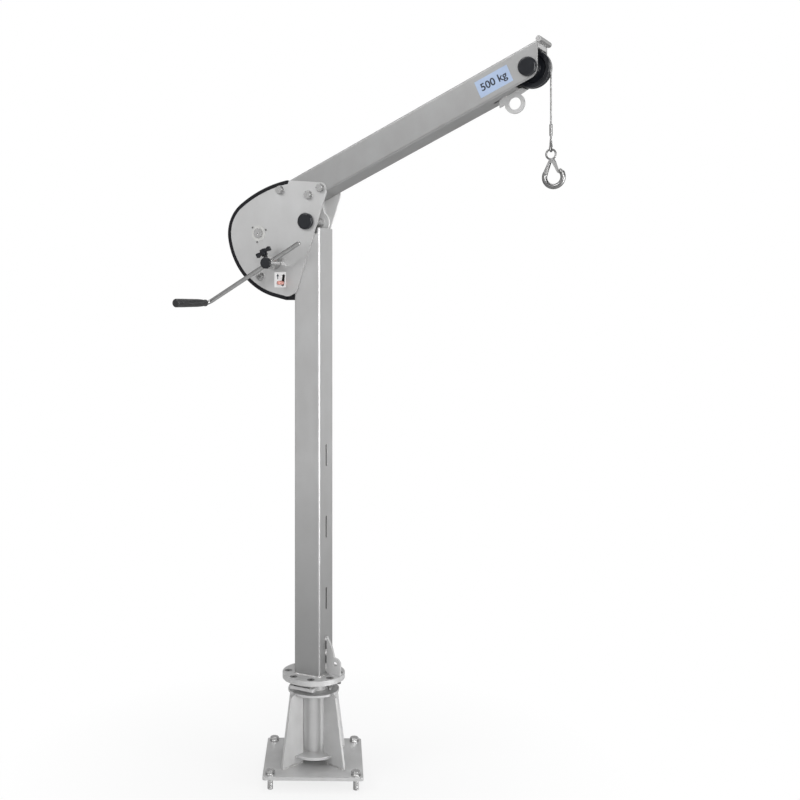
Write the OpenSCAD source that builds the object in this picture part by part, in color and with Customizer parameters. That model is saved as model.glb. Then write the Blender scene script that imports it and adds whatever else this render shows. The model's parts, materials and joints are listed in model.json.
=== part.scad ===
// Davit crane with a turning mast, a slanted boom and an enclosed crank winch.
// Origin at the middle of the base plate's underside, X along the boom, Z up, crank on the -Y side.

/* [Base] */
// Side length of the square base plate
base_side = 305; // [295:5:330]
// Thickness of the base plate
base_thick = 10; // [8:1:12]
// Corner radius of the base plate
base_corner = 8; // [4:1:14]
// Turn of the base plate from the boom's direction
base_turn = 28; // [20:1:40]
// Spacing of the four anchor bolts
anchor_pitch = 260; // [250:2:264]
// Diameter of the anchor bolts
anchor_d = 16; // [14:1:18]
// Width across flats of the anchor bolts' heads
anchor_flats = 24; // [22:1:27]
// Reach of the anchor bolts below the base plate
anchor_reach = 34; // [20:1:60]

/* [Pedestal] */
// Height of the pedestal's upper ring above the floor
pedestal_top = 228; // [210:2:250]
// Height of the lower ring's underside above the floor
lower_ring_z = 24; // [22:1:30]
// Outer diameter of the two rings
ring_d = 112; // [100:2:120]
// Thickness of the two rings
ring_thick = 8; // [6:1:10]
// Thickness of the four ribs
rib_thick = 8; // [6:1:10]
// Distance of a rib's outer foot from the mast's axis
rib_foot = 136; // [125:1:138]
// Distance of a rib's outer shoulder from the mast's axis
rib_shoulder = 99.5; // [92:0.5:105]
// Height of a rib's top above the upper ring
rib_rise = 12; // [8:1:14]
// Distance of a rib's inner edge from the mast's axis
rib_inner = 38; // [37:0.5:41]

/* [Slewing joint] */
// Outer diameter of the spindle tube
spindle_d = 63.5; // [60:0.5:66]
// Wall of the spindle tube
spindle_wall = 5; // [3:0.5:8]
// Wall of the plastic bushes
bush_wall = 4.2; // [3:0.1:5]
// Diameter of the collar that rests on the upper bush
collar_d = 80; // [76:1:90]
// Height of the collar
collar_h = 12; // [8:1:16]
// Height of the neck between the collar and the flanges
neck_h = 21; // [20:1:30]
// Diameter of the two flanges
flange_d = 196; // [190:2:206]
// Thickness of each flange
flange_thick = 8; // [6:1:12]
// Diameter of the flange bolt circle
flange_pcd = 160; // [156:1:166]
// Diameter of the flange bolts
flange_bolt_d = 12; // [10:1:14]
// Number of flange bolts
flange_bolts_n = 8; // [8]

/* [Mast] */
// Width of the square mast tube
mast_w = 90; // [86:1:92]
// Wall of the mast tube and the boom tube
tube_wall = 4; // [3:0.5:5]
// Corner radius of the mast tube and the boom tube
tube_corner = 6; // [5:0.5:9]
// Height of the mast tube above its flange
mast_h = 1392; // [1000:8:1600]
// Length of a slot in the mast's front face
slot_len = 69; // [40:1:100]
// Width of a slot in the mast's front face
slot_w = 8; // [6:1:12]
// Height of the first slot's middle above the flange
slot_first = 236; // [200:1:260]
// Spacing of the three slots
slot_pitch = 223.5; // [150:0.5:230]

/* [Head plates] */
// Height of the boom pivot above the mast tube
pivot_rise = 21; // [19:0.5:26]
// Thickness of the head's side plates
plate_thick = 5; // [4:0.5:7]
// Radius of the plates' lower left edge
plate_low_r = 219; // [200:1:240]
// Radius of the plates' left edge
plate_mid_r = 101; // [80:1:130]
// Radius of the plates' upper edge
plate_high_r = 388; // [300:1:500]
// Thickness of the black strip round the plates
strip_thick = 12; // [6:1:15]
// Diameter of the boom's pivot pin
pivot_d = 24; // [20:1:28]
// Diameter of the head bolts
head_bolt_d = 14; // [10:1:16]
// Diameter of the round plastic end caps
cap_d = 52; // [44:1:56]
// Height of the round plastic end caps
cap_h = 12; // [10:1:14]

/* [Boom] */
// Rise of the boom above the level
boom_tilt = 23.7; // [20:0.1:27]
// Distance of the boom's upright end from the mast's axis
boom_reach = 738; // [600:2:900]
// Distance of the boom's underside from its pivot
boom_lift = 55.5; // [52:0.5:58]
// Diameter of the rod across the boom's tip
cross_rod_d = 17; // [12:1:20]
// Radius of the hole in the eye under the boom
eye_hole_r = 18; // [14:0.5:20]
// Outer radius of the eye under the boom
eye_r = 29.5; // [28:0.5:32]
// Thickness of the eye under the boom
eye_thick = 8; // [6:1:12]

/* [Winch] */
// Module of the gear teeth
gear_module = 2.5; // [2.4:0.02:2.54]
// Teeth of the drum's wheel
wheel_teeth = 74; // [72:1:76]
// Teeth of the crank's pinion
pinion_teeth = 19; // [18:1:20]
// Width of the gear wheel
gear_face = 12; // [9:0.5:13]
// Diameter of the drum's shaft
drum_shaft_d = 30; // [24:1:32]
// Diameter of the drum's core
drum_core_d = 64; // [56:1:66]
// Diameter of the drum's flanges
drum_flange_d = 124; // [110:2:136]
// Diameter of the drum's bearings
bearing_d = 51; // [44:1:54]
// Diameter of the crank's shaft
crank_shaft_d = 20; // [16:1:24]
// Diameter of the crank's hub
hub_d = 37; // [34:1:44]
// Diameter of the crank's rod
rod_d = 14; // [12:1:15]
// Length of the crank's rod from the hub to its bend
rod_long = 259; // [220:1:300]
// Length of the crank's rod from the hub to its free end
rod_short = 127; // [122:1:160]
// Length of the crank's grip
grip_len = 165; // [120:1:180]
// Diameter of the ratchet wheel
ratchet_d = 72; // [70:0.5:74]
// Teeth of the ratchet wheel
ratchet_teeth = 16; // [16]

/* [Rope and hook] */
// Diameter of the wire rope
rope_d = 5; // [4:0.5:5.5]
// Diameter of the sheave
sheave_d = 108; // [104:0.5:109]
// Width of the sheave
sheave_w = 24; // [16:1:30]
// Diameter of the sheave's axle
axle_d = 20; // [16:1:24]
// Length of the rope below the sheave's middle
drop_len = 159; // [100:1:400]
// Diameter of the wire in the hook's eye
hook_eye_wire = 5.5; // [4:0.5:6]
// Inner radius of the hook's eye
hook_eye_r = 11; // [10:0.5:14]
// Radius of the middle of the hook's bowl
bowl_r = 26.5; // [25:0.5:30]
// Diameter of the hook's bowl
bowl_d = 15; // [12:0.5:16]

/* [Node] */
// Sub-part to show

/* [Hidden] */
$fn = 96;
tiny = 0.01;

// Named clearances: running fit, gap between bodies, bolt in its hole
run_fit = 0.05;
body_gap = 0.3;
bolt_fit = 0.5;

// Levels from the floor up
collar_z = pedestal_top + 3;
flange_z = collar_z + collar_h + neck_h;
joint_z = flange_z + flange_thick;
mast_z = joint_z + flange_thick;
mast_top = mast_z + mast_h;
pivot_z = mast_top + pivot_rise;
anchor_washer_h = 3;
anchor_head_z = base_thick + anchor_washer_h;
anchor_shank_d = anchor_d - 0.8;
bush_r = spindle_d / 2 + run_fit + bush_wall;
bush_lip_r = bush_r + 6;
bush_lip_h = 6;
clip_h = 3;
clip_depth = 1;
clip_z = lower_ring_z - clip_h - 1;
flange_nut_flats = flange_bolt_d * 1.58;
flange_nut_h = flange_bolt_d * 0.83;
bolt_end_z = flange_z - 20;

// Half widths across the mast, its plates and the strip
half_w = mast_w / 2;
plate_in = half_w;
plate_out = plate_in + plate_thick;
head_washer_h = 2.5;
head_flats = 22;

// Places in the head, measured from the pivot as X and Z
mid_arc_at = [-176.5, -30];
low_join = 189.6;
high_join = 125;
low_arc_at = mid_arc_at - (plate_low_r - plate_mid_r) * turned(low_join);
high_arc_at = mid_arc_at - (plate_high_r - plate_mid_r) * turned(high_join);
low_arc_end = 256.4;
high_arc_end = 97.9;
drum_at = [-173, -32];
gear_line = -56.98;
gear_distance = gear_module * (wheel_teeth + pinion_teeth) / 2;
crank_at = drum_at + gear_distance * [cos(gear_line), sin(gear_line)];
spacer_bolts = [[-93, 101.5], [-166, -169]];
boom_bolts = [[9, 81], [51, 101]];
pawl_at = [-128, -177];
knob_at = [-83, -191];
lever_slot_low = [-84.2, -196.6];
lever_slot_high = [-80.8, -169.4];
lever_slot_w = 9.6;
rim_low_run = 44;
crank_bush_r = crank_shaft_d / 2 + 3.5;
head_bolt_end = plate_out + head_washer_h + head_bolt_d;
lug_thick = 8;
parking_hole_r = 7;
ear_r = 33;
ear_thick = 5;

// Boom, measured from its own start or from the pivot
boom_start = -3;
tip_corner = 34;
web_thick = 5;
web_depth = 14.5;
rope_slot_w = 30;
cross_rod_at = [boom_reach + 4, boom_line(boom_reach, boom_lift + mast_w) + 1];
eye_at = [boom_reach - 80.2, boom_line(boom_reach - 80.2, boom_lift) - 32.6];
label_size = [105, 51];
label_film = 0.4;
label_s = boom_reach - 28.1;

// Gear train
pressure_angle = 20;
backlash = 0.45;
gear_y = half_w - 15;
ratchet_y = 9 - half_w;
ratchet_w = 6;
ratchet_phase = 208.3;
pawl_y = ratchet_y + 0.3;
pawl_w = 5.4;
pawl_pin_r = 5;
sheave_hub_r = axle_d / 2 + 4;
drum_y0 = 9 - half_w;
drum_y1 = half_w - 21;
drum_flange_w = 3;
disc_w = 3.4;
shaft_end = -82;
screw_r = 4;
stalk_r = 3.2;
knob_end = -82.5;
lug_half = 5;
lug_r = 4.5;
latch_pin_r = 2;
latch_side_w = 1.6;

// Rope route in the XZ plane, measured from the pivot
rope_r = rope_d / 2;
drum_rope_r = drum_core_d / 2 + rope_d + 1.7;
sheave_rope_r = sheave_d / 2 - 1.2;
sheave_back = 28;
sheave_rise = 33.7;
sheave_x = boom_reach - sheave_back;
sheave_at = [sheave_x, (boom_lift + sheave_rise + sheave_x * sin(boom_tilt)) / cos(boom_tilt)];
rope_span = sheave_at - drum_at;
rope_slope = atan2(rope_span[1], rope_span[0]) + asin((sheave_rope_r - drum_rope_r) / norm(rope_span));
rope_normal = [-sin(rope_slope), cos(rope_slope)];
rope_start = drum_at + drum_rope_r * rope_normal;
rope_end = sheave_at + sheave_rope_r * rope_normal;
drop_x = sheave_x + sheave_rope_r;
drop_z = pivot_z + sheave_at[1];
ferrule_top = drop_z - drop_len;
ferrule_len = 34;
ferrule_d = 9;
loop_top = ferrule_top - ferrule_len;
loop_wire_r = 2.7;
loop_len = 43;
loop_half_w = 9;
loop_low = loop_top - loop_len;

// Hook, placed from the middle of its eye
eye_mean_r = hook_eye_r + hook_eye_wire / 2;
hook_eye_z = loop_low + loop_wire_r + body_gap - hook_eye_r;
bowl_from_eye = [8, -65];
bowl_at = [drop_x, hook_eye_z] + bowl_from_eye;
neck_turn = 154;
tip_turn = 30;
latch_at = [drop_x + 5, hook_eye_z - 16];
latch_dir = -66;
latch_len = 41;

// Crank rod and its grip
hub_y = plate_out + 1;
rod_y = -92.5;
rod_turn = 28.8;
hub_end = -110;
hub_cap_h = 4.6;
bend_r = 14;
grip_start = rod_y - bend_r - 1.5;

// Outlines and placing
function unit(v) = v / norm(v);
function turned(a) = [cos(a), sin(a)];
function square_points(w) = [[-w / 2, -w / 2], [w / 2, -w / 2], [w / 2, w / 2], [-w / 2, w / 2]];

// Outline whose outward corners are rounded, with one radius for each corner
module rounded(points, radii) {
    n = len(points);
    function half_angle(i) =
        acos(unit(points[(i + n - 1) % n] - points[i]) * unit(points[(i + 1) % n] - points[i])) / 2;
    function run(i) = radii[i] / tan(half_angle(i));
    function before(i) = points[i] + run(i) * unit(points[(i + n - 1) % n] - points[i]);
    function after(i) = points[i] + run(i) * unit(points[(i + 1) % n] - points[i]);
    function middle(i) = points[i] + radii[i] / sin(half_angle(i))
        * unit(unit(points[(i + n - 1) % n] - points[i]) + unit(points[(i + 1) % n] - points[i]));
    polygon([for (i = [0:n - 1]) each (radii[i] == 0 ? [points[i]] : [before(i), after(i)])]);
    for (i = [0:n - 1])
        if (radii[i] > 0)
            translate(middle(i)) circle(r = radii[i]);
}

// The same with each round corner drawn as a run of points
module arc_cornered(points, radii) {
    n = len(points);
    steps = 12;
    function to_last(i) = unit(points[(i + n - 1) % n] - points[i]);
    function to_next(i) = unit(points[(i + 1) % n] - points[i]);
    function half_angle(i) = acos(to_last(i) * to_next(i)) / 2;
    function middle(i) = points[i] + radii[i] / sin(half_angle(i)) * unit(to_last(i) + to_next(i));
    function corner(i) =
        let (from = points[i] + radii[i] / tan(half_angle(i)) * to_last(i) - middle(i), turn = 180 - 2 * half_angle(i))
        [for (k = [0:steps])
            let (a = atan2(from[1], from[0]) - turn * k / steps)
            middle(i) + radii[i] * turned(a)];
    polygon([for (i = [0:n - 1]) each (radii[i] == 0 ? [points[i]] : corner(i))]);
}

// Outer band of a disc between two angles, deep enough to reach past its chord
module arc_band(at, r, from, to) {
    inside = 0.8 * r;
    reach = 2 * r;
    middle = (from + to) / 2;
    intersection() {
        translate(at) circle(r = r);
        polygon([
            at + inside * turned(from), at + reach * turned(from), at + reach * turned(middle),
            at + reach * turned(to), at + inside * turned(to),
        ]);
    }
}

// Slab between two places along Y, of an outline in X and Z measured from the floor
module across(y0, y1) translate([0, y1, 0]) rotate([90, 0, 0]) linear_extrude(y1 - y0) children();

// The same, of an outline measured from the boom's pivot
module head_slab(y0, y1) translate([0, 0, pivot_z]) across(y0, y1) children();

// Cylinder along Y at a place measured from the boom's pivot
module head_rod(at, r, y0, y1) translate([at[0], y1, pivot_z + at[1]]) rotate([90, 0, 0]) cylinder(r = r, h = y1 - y0);

// Cylinder or cone between two points
module strut(a, b, r1, r2) {
    d = b - a;
    translate(a) rotate([0, acos(d[2] / norm(d)), atan2(d[1], d[0])]) cylinder(r1 = r1, r2 = r2, h = norm(d));
}

module both_sides() {
    children();
    mirror([0, 1, 0]) children();
}

// The boom's own frame: X along it and Z up from the pivot
module boom_frame() translate([0, 0, pivot_z]) rotate([0, -boom_tilt, 0]) children();

// Height, from the pivot, of a line along the boom, at a distance from the mast
function boom_line(x, lift) = (lift + x * sin(boom_tilt)) / cos(boom_tilt);

// Hexagon head with its corners turned down
module hex_head(flats, h) {
    corner = flats / 2 / cos(30);
    edge = corner - flats / 2;
    intersection() {
        linear_extrude(h) circle(r = corner, $fn = 6);
        union() {
            cylinder(r = corner + tiny, h = h - edge / 2);
            translate([0, 0, h - edge / 2]) cylinder(r1 = corner + tiny, r2 = corner - edge, h = edge / 2);
        }
    }
}

// Pedestal
module at_anchors() {
    for (x = [-1, 1])
        for (y = [-1, 1])
            rotate(base_turn) translate([x * anchor_pitch / 2, y * anchor_pitch / 2, 0]) children();
}

module base_plate() {
    color("silver") difference() {
        rotate(base_turn) linear_extrude(base_thick)
            rounded(square_points(base_side), [for (i = [0:3]) base_corner]);
        at_anchors() translate([0, 0, -1]) cylinder(d = anchor_d + 3 * bolt_fit, h = base_thick + 2);
    }
}

// One rib, its feet on the plate, notched for both rings and the lower bush
module rib_outline() {
    ring_r = ring_d / 2;
    ring_under = pedestal_top - ring_thick;
    low_top = lower_ring_z + ring_thick;
    crest = pedestal_top + rib_rise;
    foot_gap = 3;
    polygon([
        [rib_foot, base_thick], [rib_shoulder, pedestal_top - 6], [rib_shoulder - 19.5, crest], [ring_r, crest],
        [ring_r, ring_under], [rib_inner, ring_under], [rib_inner, low_top + bush_lip_h + 1],
        [bush_lip_r + 1, low_top + bush_lip_h + 1], [bush_lip_r + 1, low_top], [ring_r, low_top],
        [ring_r, lower_ring_z], [ring_r - 6, lower_ring_z], [ring_r - 6, base_thick],
        [ring_r + 14, base_thick], [ring_r + 16, base_thick + foot_gap],
        [rib_foot - 28, base_thick + foot_gap], [rib_foot - 26, base_thick],
    ]);
}

module pedestal_ribs() {
    color("silver") for (k = [0:3])
        rotate(base_turn + 45 + 90 * k) across(-rib_thick / 2, rib_thick / 2) rib_outline();
}

module bearing_rings() {
    color("silver") for (z = [lower_ring_z, pedestal_top - ring_thick])
        translate([0, 0, z]) difference() {
            cylinder(d = ring_d, h = ring_thick);
            translate([0, 0, -1]) cylinder(r = bush_r, h = ring_thick + 2);
        }
}

// Lower bush with a sloping lip, upper bush with a flat lip that carries the collar
module spindle_bushes() {
    bore = spindle_d / 2 + run_fit;
    color("dimgray") {
        translate([0, 0, lower_ring_z]) difference() {
            union() {
                cylinder(r = bush_r, h = ring_thick);
                translate([0, 0, ring_thick]) cylinder(r1 = bush_lip_r, r2 = bush_lip_r - 6, h = bush_lip_h);
            }
            translate([0, 0, -1]) cylinder(r = bore, h = ring_thick + bush_lip_h + 2);
        }
        translate([0, 0, pedestal_top - ring_thick]) difference() {
            union() {
                cylinder(r = bush_r, h = ring_thick);
                translate([0, 0, ring_thick]) cylinder(d = collar_d, h = collar_z - pedestal_top - body_gap);
            }
            translate([0, 0, -1]) cylinder(r = bore, h = ring_thick + 5);
        }
    }
}

module anchor_bolts() {
    color("silver") at_anchors() {
        translate([0, 0, -anchor_reach]) cylinder(d = anchor_d, h = anchor_reach);
        translate([0, 0, -1]) cylinder(d = anchor_shank_d, h = anchor_head_z + 2);
        translate([0, 0, anchor_head_z]) hex_head(anchor_flats, anchor_d * 0.63);
    }
}

module anchor_washers() {
    color("silver") at_anchors() translate([0, 0, base_thick]) difference() {
        cylinder(d = anchor_flats + 6, h = anchor_washer_h);
        translate([0, 0, -1]) cylinder(d = anchor_d + bolt_fit, h = anchor_washer_h + 2);
    }
}

// Slewing joint
module at_flange_bolts() {
    for (k = [0:flange_bolts_n - 1])
        rotate((k + 0.5) * 360 / flange_bolts_n) translate([flange_pcd / 2, 0, 0]) children();
}

module spindle_tube() {
    low = base_thick + 3;
    color("silver") difference() {
        union() {
            translate([0, 0, low]) cylinder(d = spindle_d, h = joint_z - low);
            translate([0, 0, collar_z]) cylinder(d = collar_d, h = collar_h);
        }
        translate([0, 0, low - 1]) cylinder(d = spindle_d - 2 * spindle_wall, h = joint_z - low + 2);
        translate([0, 0, clip_z]) difference() {
            cylinder(d = spindle_d + 2, h = clip_h);
            translate([0, 0, -1]) cylinder(d = spindle_d - 2 * clip_depth, h = clip_h + 2);
        }
    }
}

module retaining_ring() {
    color("dimgray") translate([0, 0, clip_z]) difference() {
        cylinder(d = spindle_d + 9, h = clip_h);
        translate([0, 0, -1]) cylinder(d = spindle_d - 2 * clip_depth, h = clip_h + 2);
    }
}

module lower_flange() {
    color("silver") translate([0, 0, flange_z]) difference() {
        cylinder(d = flange_d, h = flange_thick);
        translate([0, 0, -1]) cylinder(d = spindle_d, h = flange_thick + 2);
        at_flange_bolts() translate([0, 0, -1]) cylinder(d = flange_bolt_d + bolt_fit, h = flange_thick + 2);
    }
}

// Cone of a countersunk head, its top at the origin
module countersink(fit) {
    head_d = 2 * flange_bolt_d;
    depth = flange_bolt_d / 2;
    translate([0, 0, -depth]) cylinder(d1 = flange_bolt_d + fit, d2 = head_d + fit, h = depth);
}

module mast_flange() {
    color("silver") difference() {
        translate([0, 0, joint_z]) cylinder(d = flange_d, h = flange_thick);
        translate([0, 0, joint_z - 1]) cylinder(d = spindle_d - 2 * spindle_wall, h = flange_thick + 2);
        at_flange_bolts() {
            translate([0, 0, joint_z - 1]) cylinder(d = flange_bolt_d + bolt_fit, h = flange_thick + 2);
            translate([0, 0, mast_z + tiny]) countersink(bolt_fit);
        }
    }
}

module flange_bolts() {
    socket = flange_bolt_d * 0.67;
    color("gray") at_flange_bolts() difference() {
        union() {
            translate([0, 0, bolt_end_z]) cylinder(d = flange_bolt_d, h = mast_z - bolt_end_z - 1);
            translate([0, 0, mast_z]) countersink(0);
        }
        translate([0, 0, mast_z - flange_bolt_d / 3]) linear_extrude(flange_bolt_d) circle(d = socket, $fn = 6);
    }
}

module flange_nuts() {
    color("gray") at_flange_bolts() translate([0, 0, flange_z - flange_nut_h]) difference() {
        translate([0, 0, flange_nut_h]) mirror([0, 0, 1]) hex_head(flange_nut_flats, flange_nut_h);
        translate([0, 0, -1]) cylinder(d = flange_bolt_d, h = flange_nut_h + 2);
    }
}

// Bar tapped on to the two bolts nearest the crank's side
module lock_bar() {
    step = 360 / flange_bolts_n;
    chord_y = -flange_pcd / 2 * cos(step / 2);
    chord_x = flange_pcd / 2 * sin(step / 2);
    color("silver") translate([0, 0, bolt_end_z]) difference() {
        linear_extrude(flange_z - flange_nut_h - bolt_end_z) translate([0, chord_y])
            rounded([[-chord_x - 12, -9], [chord_x + 12, -9], [chord_x + 12, 9], [-chord_x - 12, 9]], [4, 4, 4, 4]);
        for (x = [-chord_x, chord_x])
            translate([x, chord_y, -1]) cylinder(d = flange_bolt_d, h = 30);
    }
}

// Mast
module tube_section(inset) {
    w = mast_w - 2 * inset;
    rounded(square_points(w), [for (i = [0:3]) tube_corner - inset]);
}

// Slot outline along the mast
module slot_outline(len, w) {
    square([w, len - w], center = true);
    for (side = [-1, 1])
        translate([0, side * (len - w) / 2]) circle(d = w);
}

module mast_tube() {
    color("silver") difference() {
        translate([0, 0, mast_z]) linear_extrude(mast_h) difference() {
            tube_section(0);
            tube_section(tube_wall);
        }
        translate([-mast_w, -mast_w, pivot_z - ear_r - 5]) cube([mast_w + ear_r + 5, 2 * mast_w, mast_h]);
        for (k = [0:2])
            translate([half_w - tube_wall - 1, 0, mast_z + slot_first + k * slot_pitch])
                rotate([90, 0, 90]) linear_extrude(tube_wall + 2) slot_outline(slot_len, slot_w);
    }
}

// Upright ear at the mast's foot, with a nose that has a hole
module parking_lug() {
    nose = [half_w + 32.5, mast_z + 34.7];
    color("silver") across(-lug_thick / 2, lug_thick / 2) difference() {
        union() {
            polygon([
                [half_w, mast_z + 10], [half_w + 13, mast_z], [half_w + 50, mast_z], nose + 18 * turned(0),
                nose + 18 * turned(50), [half_w + 29, mast_z + 55], [half_w + 22, mast_z + 83],
                [half_w + 4, mast_z + 117], [half_w, mast_z + 117],
            ]);
            translate(nose) circle(r = 18);
        }
        translate(nose) circle(r = parking_hole_r);
    }
}

// Head plates
// Curved left part of the head's outline, grown outwards by a margin
module head_curve(grow) {
    low_r = plate_low_r + grow;
    mid_r = plate_mid_r + grow;
    high_r = plate_high_r + grow;
    low_end = low_arc_at + low_r * turned(low_arc_end);
    high_end = high_arc_at + high_r * turned(high_arc_end);
    arc_band(low_arc_at, low_r, low_join, low_arc_end);
    arc_band(mid_arc_at, mid_r, high_join, low_join);
    arc_band(high_arc_at, high_r, high_arc_end, high_join);
    polygon([
        low_end, mid_arc_at + mid_r * turned(low_join), mid_arc_at + mid_r * turned(high_join), high_end,
        low_end + rim_low_run * turned(low_arc_end + 90),
    ]);
}

// Straight right part of the head's outline
module head_foot() {
    high_end = high_arc_at + plate_high_r * turned(high_arc_end);
    low_end = low_arc_at + plate_low_r * turned(low_arc_end) + rim_low_run * turned(low_arc_end + 90);
    foot_corner = [low_end[0] + 10, low_end[1] + 0.8];
    top_corner = [-61, 130];
    arc_cornered([
        low_arc_at + [-20, -60], 3 * high_end - 2 * top_corner, top_corner, [65, 117], [72, 87], [-36, -222],
        foot_corner, low_end,
    ], [0, 0, 0, 16, 14, 10, 0, 0]);
}

module side_plate(near) {
    difference() {
        union() {
            head_slab(plate_in, plate_out) head_curve(0);
            head_slab(plate_in, plate_out) head_foot();
        }
        head_rod([0, 0], pivot_d / 2, 0, mast_w);
        for (at = concat(spacer_bolts, boom_bolts))
            head_rod(at, (head_bolt_d + bolt_fit) / 2, 0, mast_w);
        head_rod(drum_at, bearing_d / 2, 0, mast_w);
        head_rod(crank_at, crank_bush_r, 0, mast_w);
        if (near) {
            lever_run = lever_slot_high - lever_slot_low;
            head_slab(0, mast_w) translate((lever_slot_low + lever_slot_high) / 2)
                rotate(atan2(lever_run[1], lever_run[0]) - 90)
                    slot_outline(norm(lever_run) + lever_slot_w, lever_slot_w);
        }
    }
}

module side_plate_near() {
    color("silver") mirror([0, 1, 0]) side_plate(true);
}

module side_plate_far() {
    color("silver") side_plate(false);
}

// Strip that closes the gap between the plates, with a lip that ends on the mast
module cover_strip() {
    low_end = low_arc_at + plate_low_r * turned(low_arc_end) + rim_low_run * turned(low_arc_end + 90);
    color("black") {
        head_slab(-plate_out, plate_out) difference() {
            head_curve(strip_thick);
            head_curve(0);
        }
        head_slab(-half_w + 1, half_w - 1)
            polygon([low_end - [4, -0.9], low_end - [0, 9], [-half_w, low_end[1] - 9], [-half_w, low_end[1] + 5]]);
    }
}

module pivot_pin() {
    color("gray") head_rod([0, 0], pivot_d / 2, -plate_out, plate_out);
}

// Round cap with a rolled edge, its seat at the origin and its face up
module end_cap(d, h) {
    edge = h * 0.45;
    rotate_extrude() {
        square([d / 2 - edge, h]);
        square([d / 2, h - edge]);
        translate([d / 2 - edge, h - edge]) intersection() {
            circle(r = edge);
            square(edge);
        }
    }
}

module end_caps() {
    color("black") both_sides() {
        translate([0, -plate_out, pivot_z]) rotate([90, 0, 0]) end_cap(cap_d, cap_h);
        translate([sheave_at[0], -half_w, pivot_z + sheave_at[1]]) rotate([90, 0, 0]) end_cap(cap_d + 2, cap_h);
    }
}

module at_head_bolts() {
    for (at = concat(spacer_bolts, boom_bolts))
        translate([at[0], 0, pivot_z + at[1]]) children();
}

module head_bolts() {
    under_head = plate_out + head_washer_h;
    head_h = head_bolt_d * 0.63;
    color("silver") at_head_bolts() {
        translate([0, head_bolt_end, 0]) rotate([90, 0, 0]) cylinder(d = head_bolt_d, h = head_bolt_end + under_head + 1);
        translate([0, -under_head, 0]) rotate([90, 0, 0]) hex_head(head_flats, head_h);
    }
}

module head_nuts() {
    nut_h = head_bolt_d * 0.8;
    color("silver") at_head_bolts() translate([0, plate_out + head_washer_h, 0]) rotate([-90, 0, 0]) difference() {
        hex_head(head_flats, nut_h);
        translate([0, 0, -1]) cylinder(d = head_bolt_d, h = nut_h + 2);
    }
}

module head_washers() {
    color("silver") both_sides() at_head_bolts() translate([0, -plate_out, 0]) rotate([90, 0, 0]) difference() {
        cylinder(d = head_flats + 6, h = head_washer_h);
        translate([0, 0, -1]) cylinder(d = head_bolt_d + bolt_fit, h = head_washer_h + 2);
    }
}

// Tubes that keep the plates, the boom's ears and the sheave's cheeks apart
module spacer_tubes() {
    bore = head_bolt_d / 2 + bolt_fit / 2;
    cheek = half_w - tube_wall;
    color("silver") {
        for (at = spacer_bolts)
            spacer(at, bore + 3.5, bore, -plate_in, plate_in);
        for (at = boom_bolts)
            spacer(at, bore + 3.5, bore, -cheek, cheek);
        spacer([0, 0], pivot_d / 2 + 4, pivot_d / 2, -half_w + ear_thick, half_w - ear_thick);
        both_sides() spacer(sheave_at, sheave_hub_r, axle_d / 2, sheave_w / 2 + body_gap, cheek);
    }
}

module spacer(at, r, bore, y0, y1) {
    difference() {
        head_rod(at, r, y0, y1);
        head_rod(at, bore, y0 - 1, y1 + 1);
    }
}

// Boom
module boom_body(inset, from, to) {
    boom_frame() translate([from, 0, boom_lift + half_w]) rotate([90, 0, 90])
        linear_extrude(to - from) tube_section(inset);
}

module boom_tube() {
    far = 1.4 * boom_reach;
    low = boom_line(boom_reach, boom_lift);
    high = boom_line(boom_reach, boom_lift + mast_w);
    sheave_s = sheave_at[0] * cos(boom_tilt) + sheave_at[1] * sin(boom_tilt);
    color("silver") difference() {
        intersection() {
            difference() {
                boom_body(0, boom_start, far);
                boom_body(tube_wall, boom_start - 1, far + 1);
            }
            head_slab(-mast_w, mast_w) rounded([
                [boom_reach, low], [boom_reach, high + 100], [-300, high + 100], [-300, boom_line(-300, boom_lift)],
            ], [tip_corner, 0, 0, 0]);
        }
        boom_frame() {
            translate([sheave_s - 56, -half_w + tube_wall, boom_lift - 1])
                cube([far, mast_w - 2 * tube_wall, tube_wall + 1.5]);
            translate([sheave_s - 64, -rope_slot_w / 2, boom_lift + mast_w - tube_wall - 1])
                cube([90, rope_slot_w, tube_wall + 2]);
            translate([sheave_s - 140, -6, boom_lift - 1]) cube([17, 12, tube_wall + 2]);
        }
        for (at = boom_bolts)
            head_rod(at, head_bolt_d / 2 + bolt_fit / 2, -mast_w, mast_w);
        head_rod(sheave_at, axle_d / 2, -mast_w, mast_w);
        head_rod(cross_rod_at, cross_rod_d / 2, -mast_w, mast_w);
    }
}

// Upright plate that closes the boom's tip above the sheave
module tip_web() {
    high = boom_line(boom_reach - web_thick, boom_lift + mast_w - tube_wall);
    color("silver") difference() {
        intersection() {
            translate([boom_reach - web_thick, -mast_w, pivot_z + high - web_depth])
                cube([web_thick, 2 * mast_w, 2 * web_depth]);
            boom_body(tube_wall, boom_start, 2 * boom_reach);
        }
        head_rod(cross_rod_at, cross_rod_d / 2, -mast_w, mast_w);
    }
}

// Ears that hold the boom's foot on its pivot
module boom_ears() {
    color("silver") difference() {
        both_sides() boom_frame() across(half_w - ear_thick, half_w) difference() {
            union() {
                circle(r = ear_r);
                polygon([[-ear_r, 0], [-12, boom_lift + tube_corner], [34, boom_lift + tube_corner], [27, 19]]);
            }
            circle(d = pivot_d);
        }
        boom_body(0, -100, 200);
    }
}

module cross_rod() {
    color("silver") head_rod(cross_rod_at, cross_rod_d / 2, -half_w - 3, half_w + 3);
}

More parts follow.
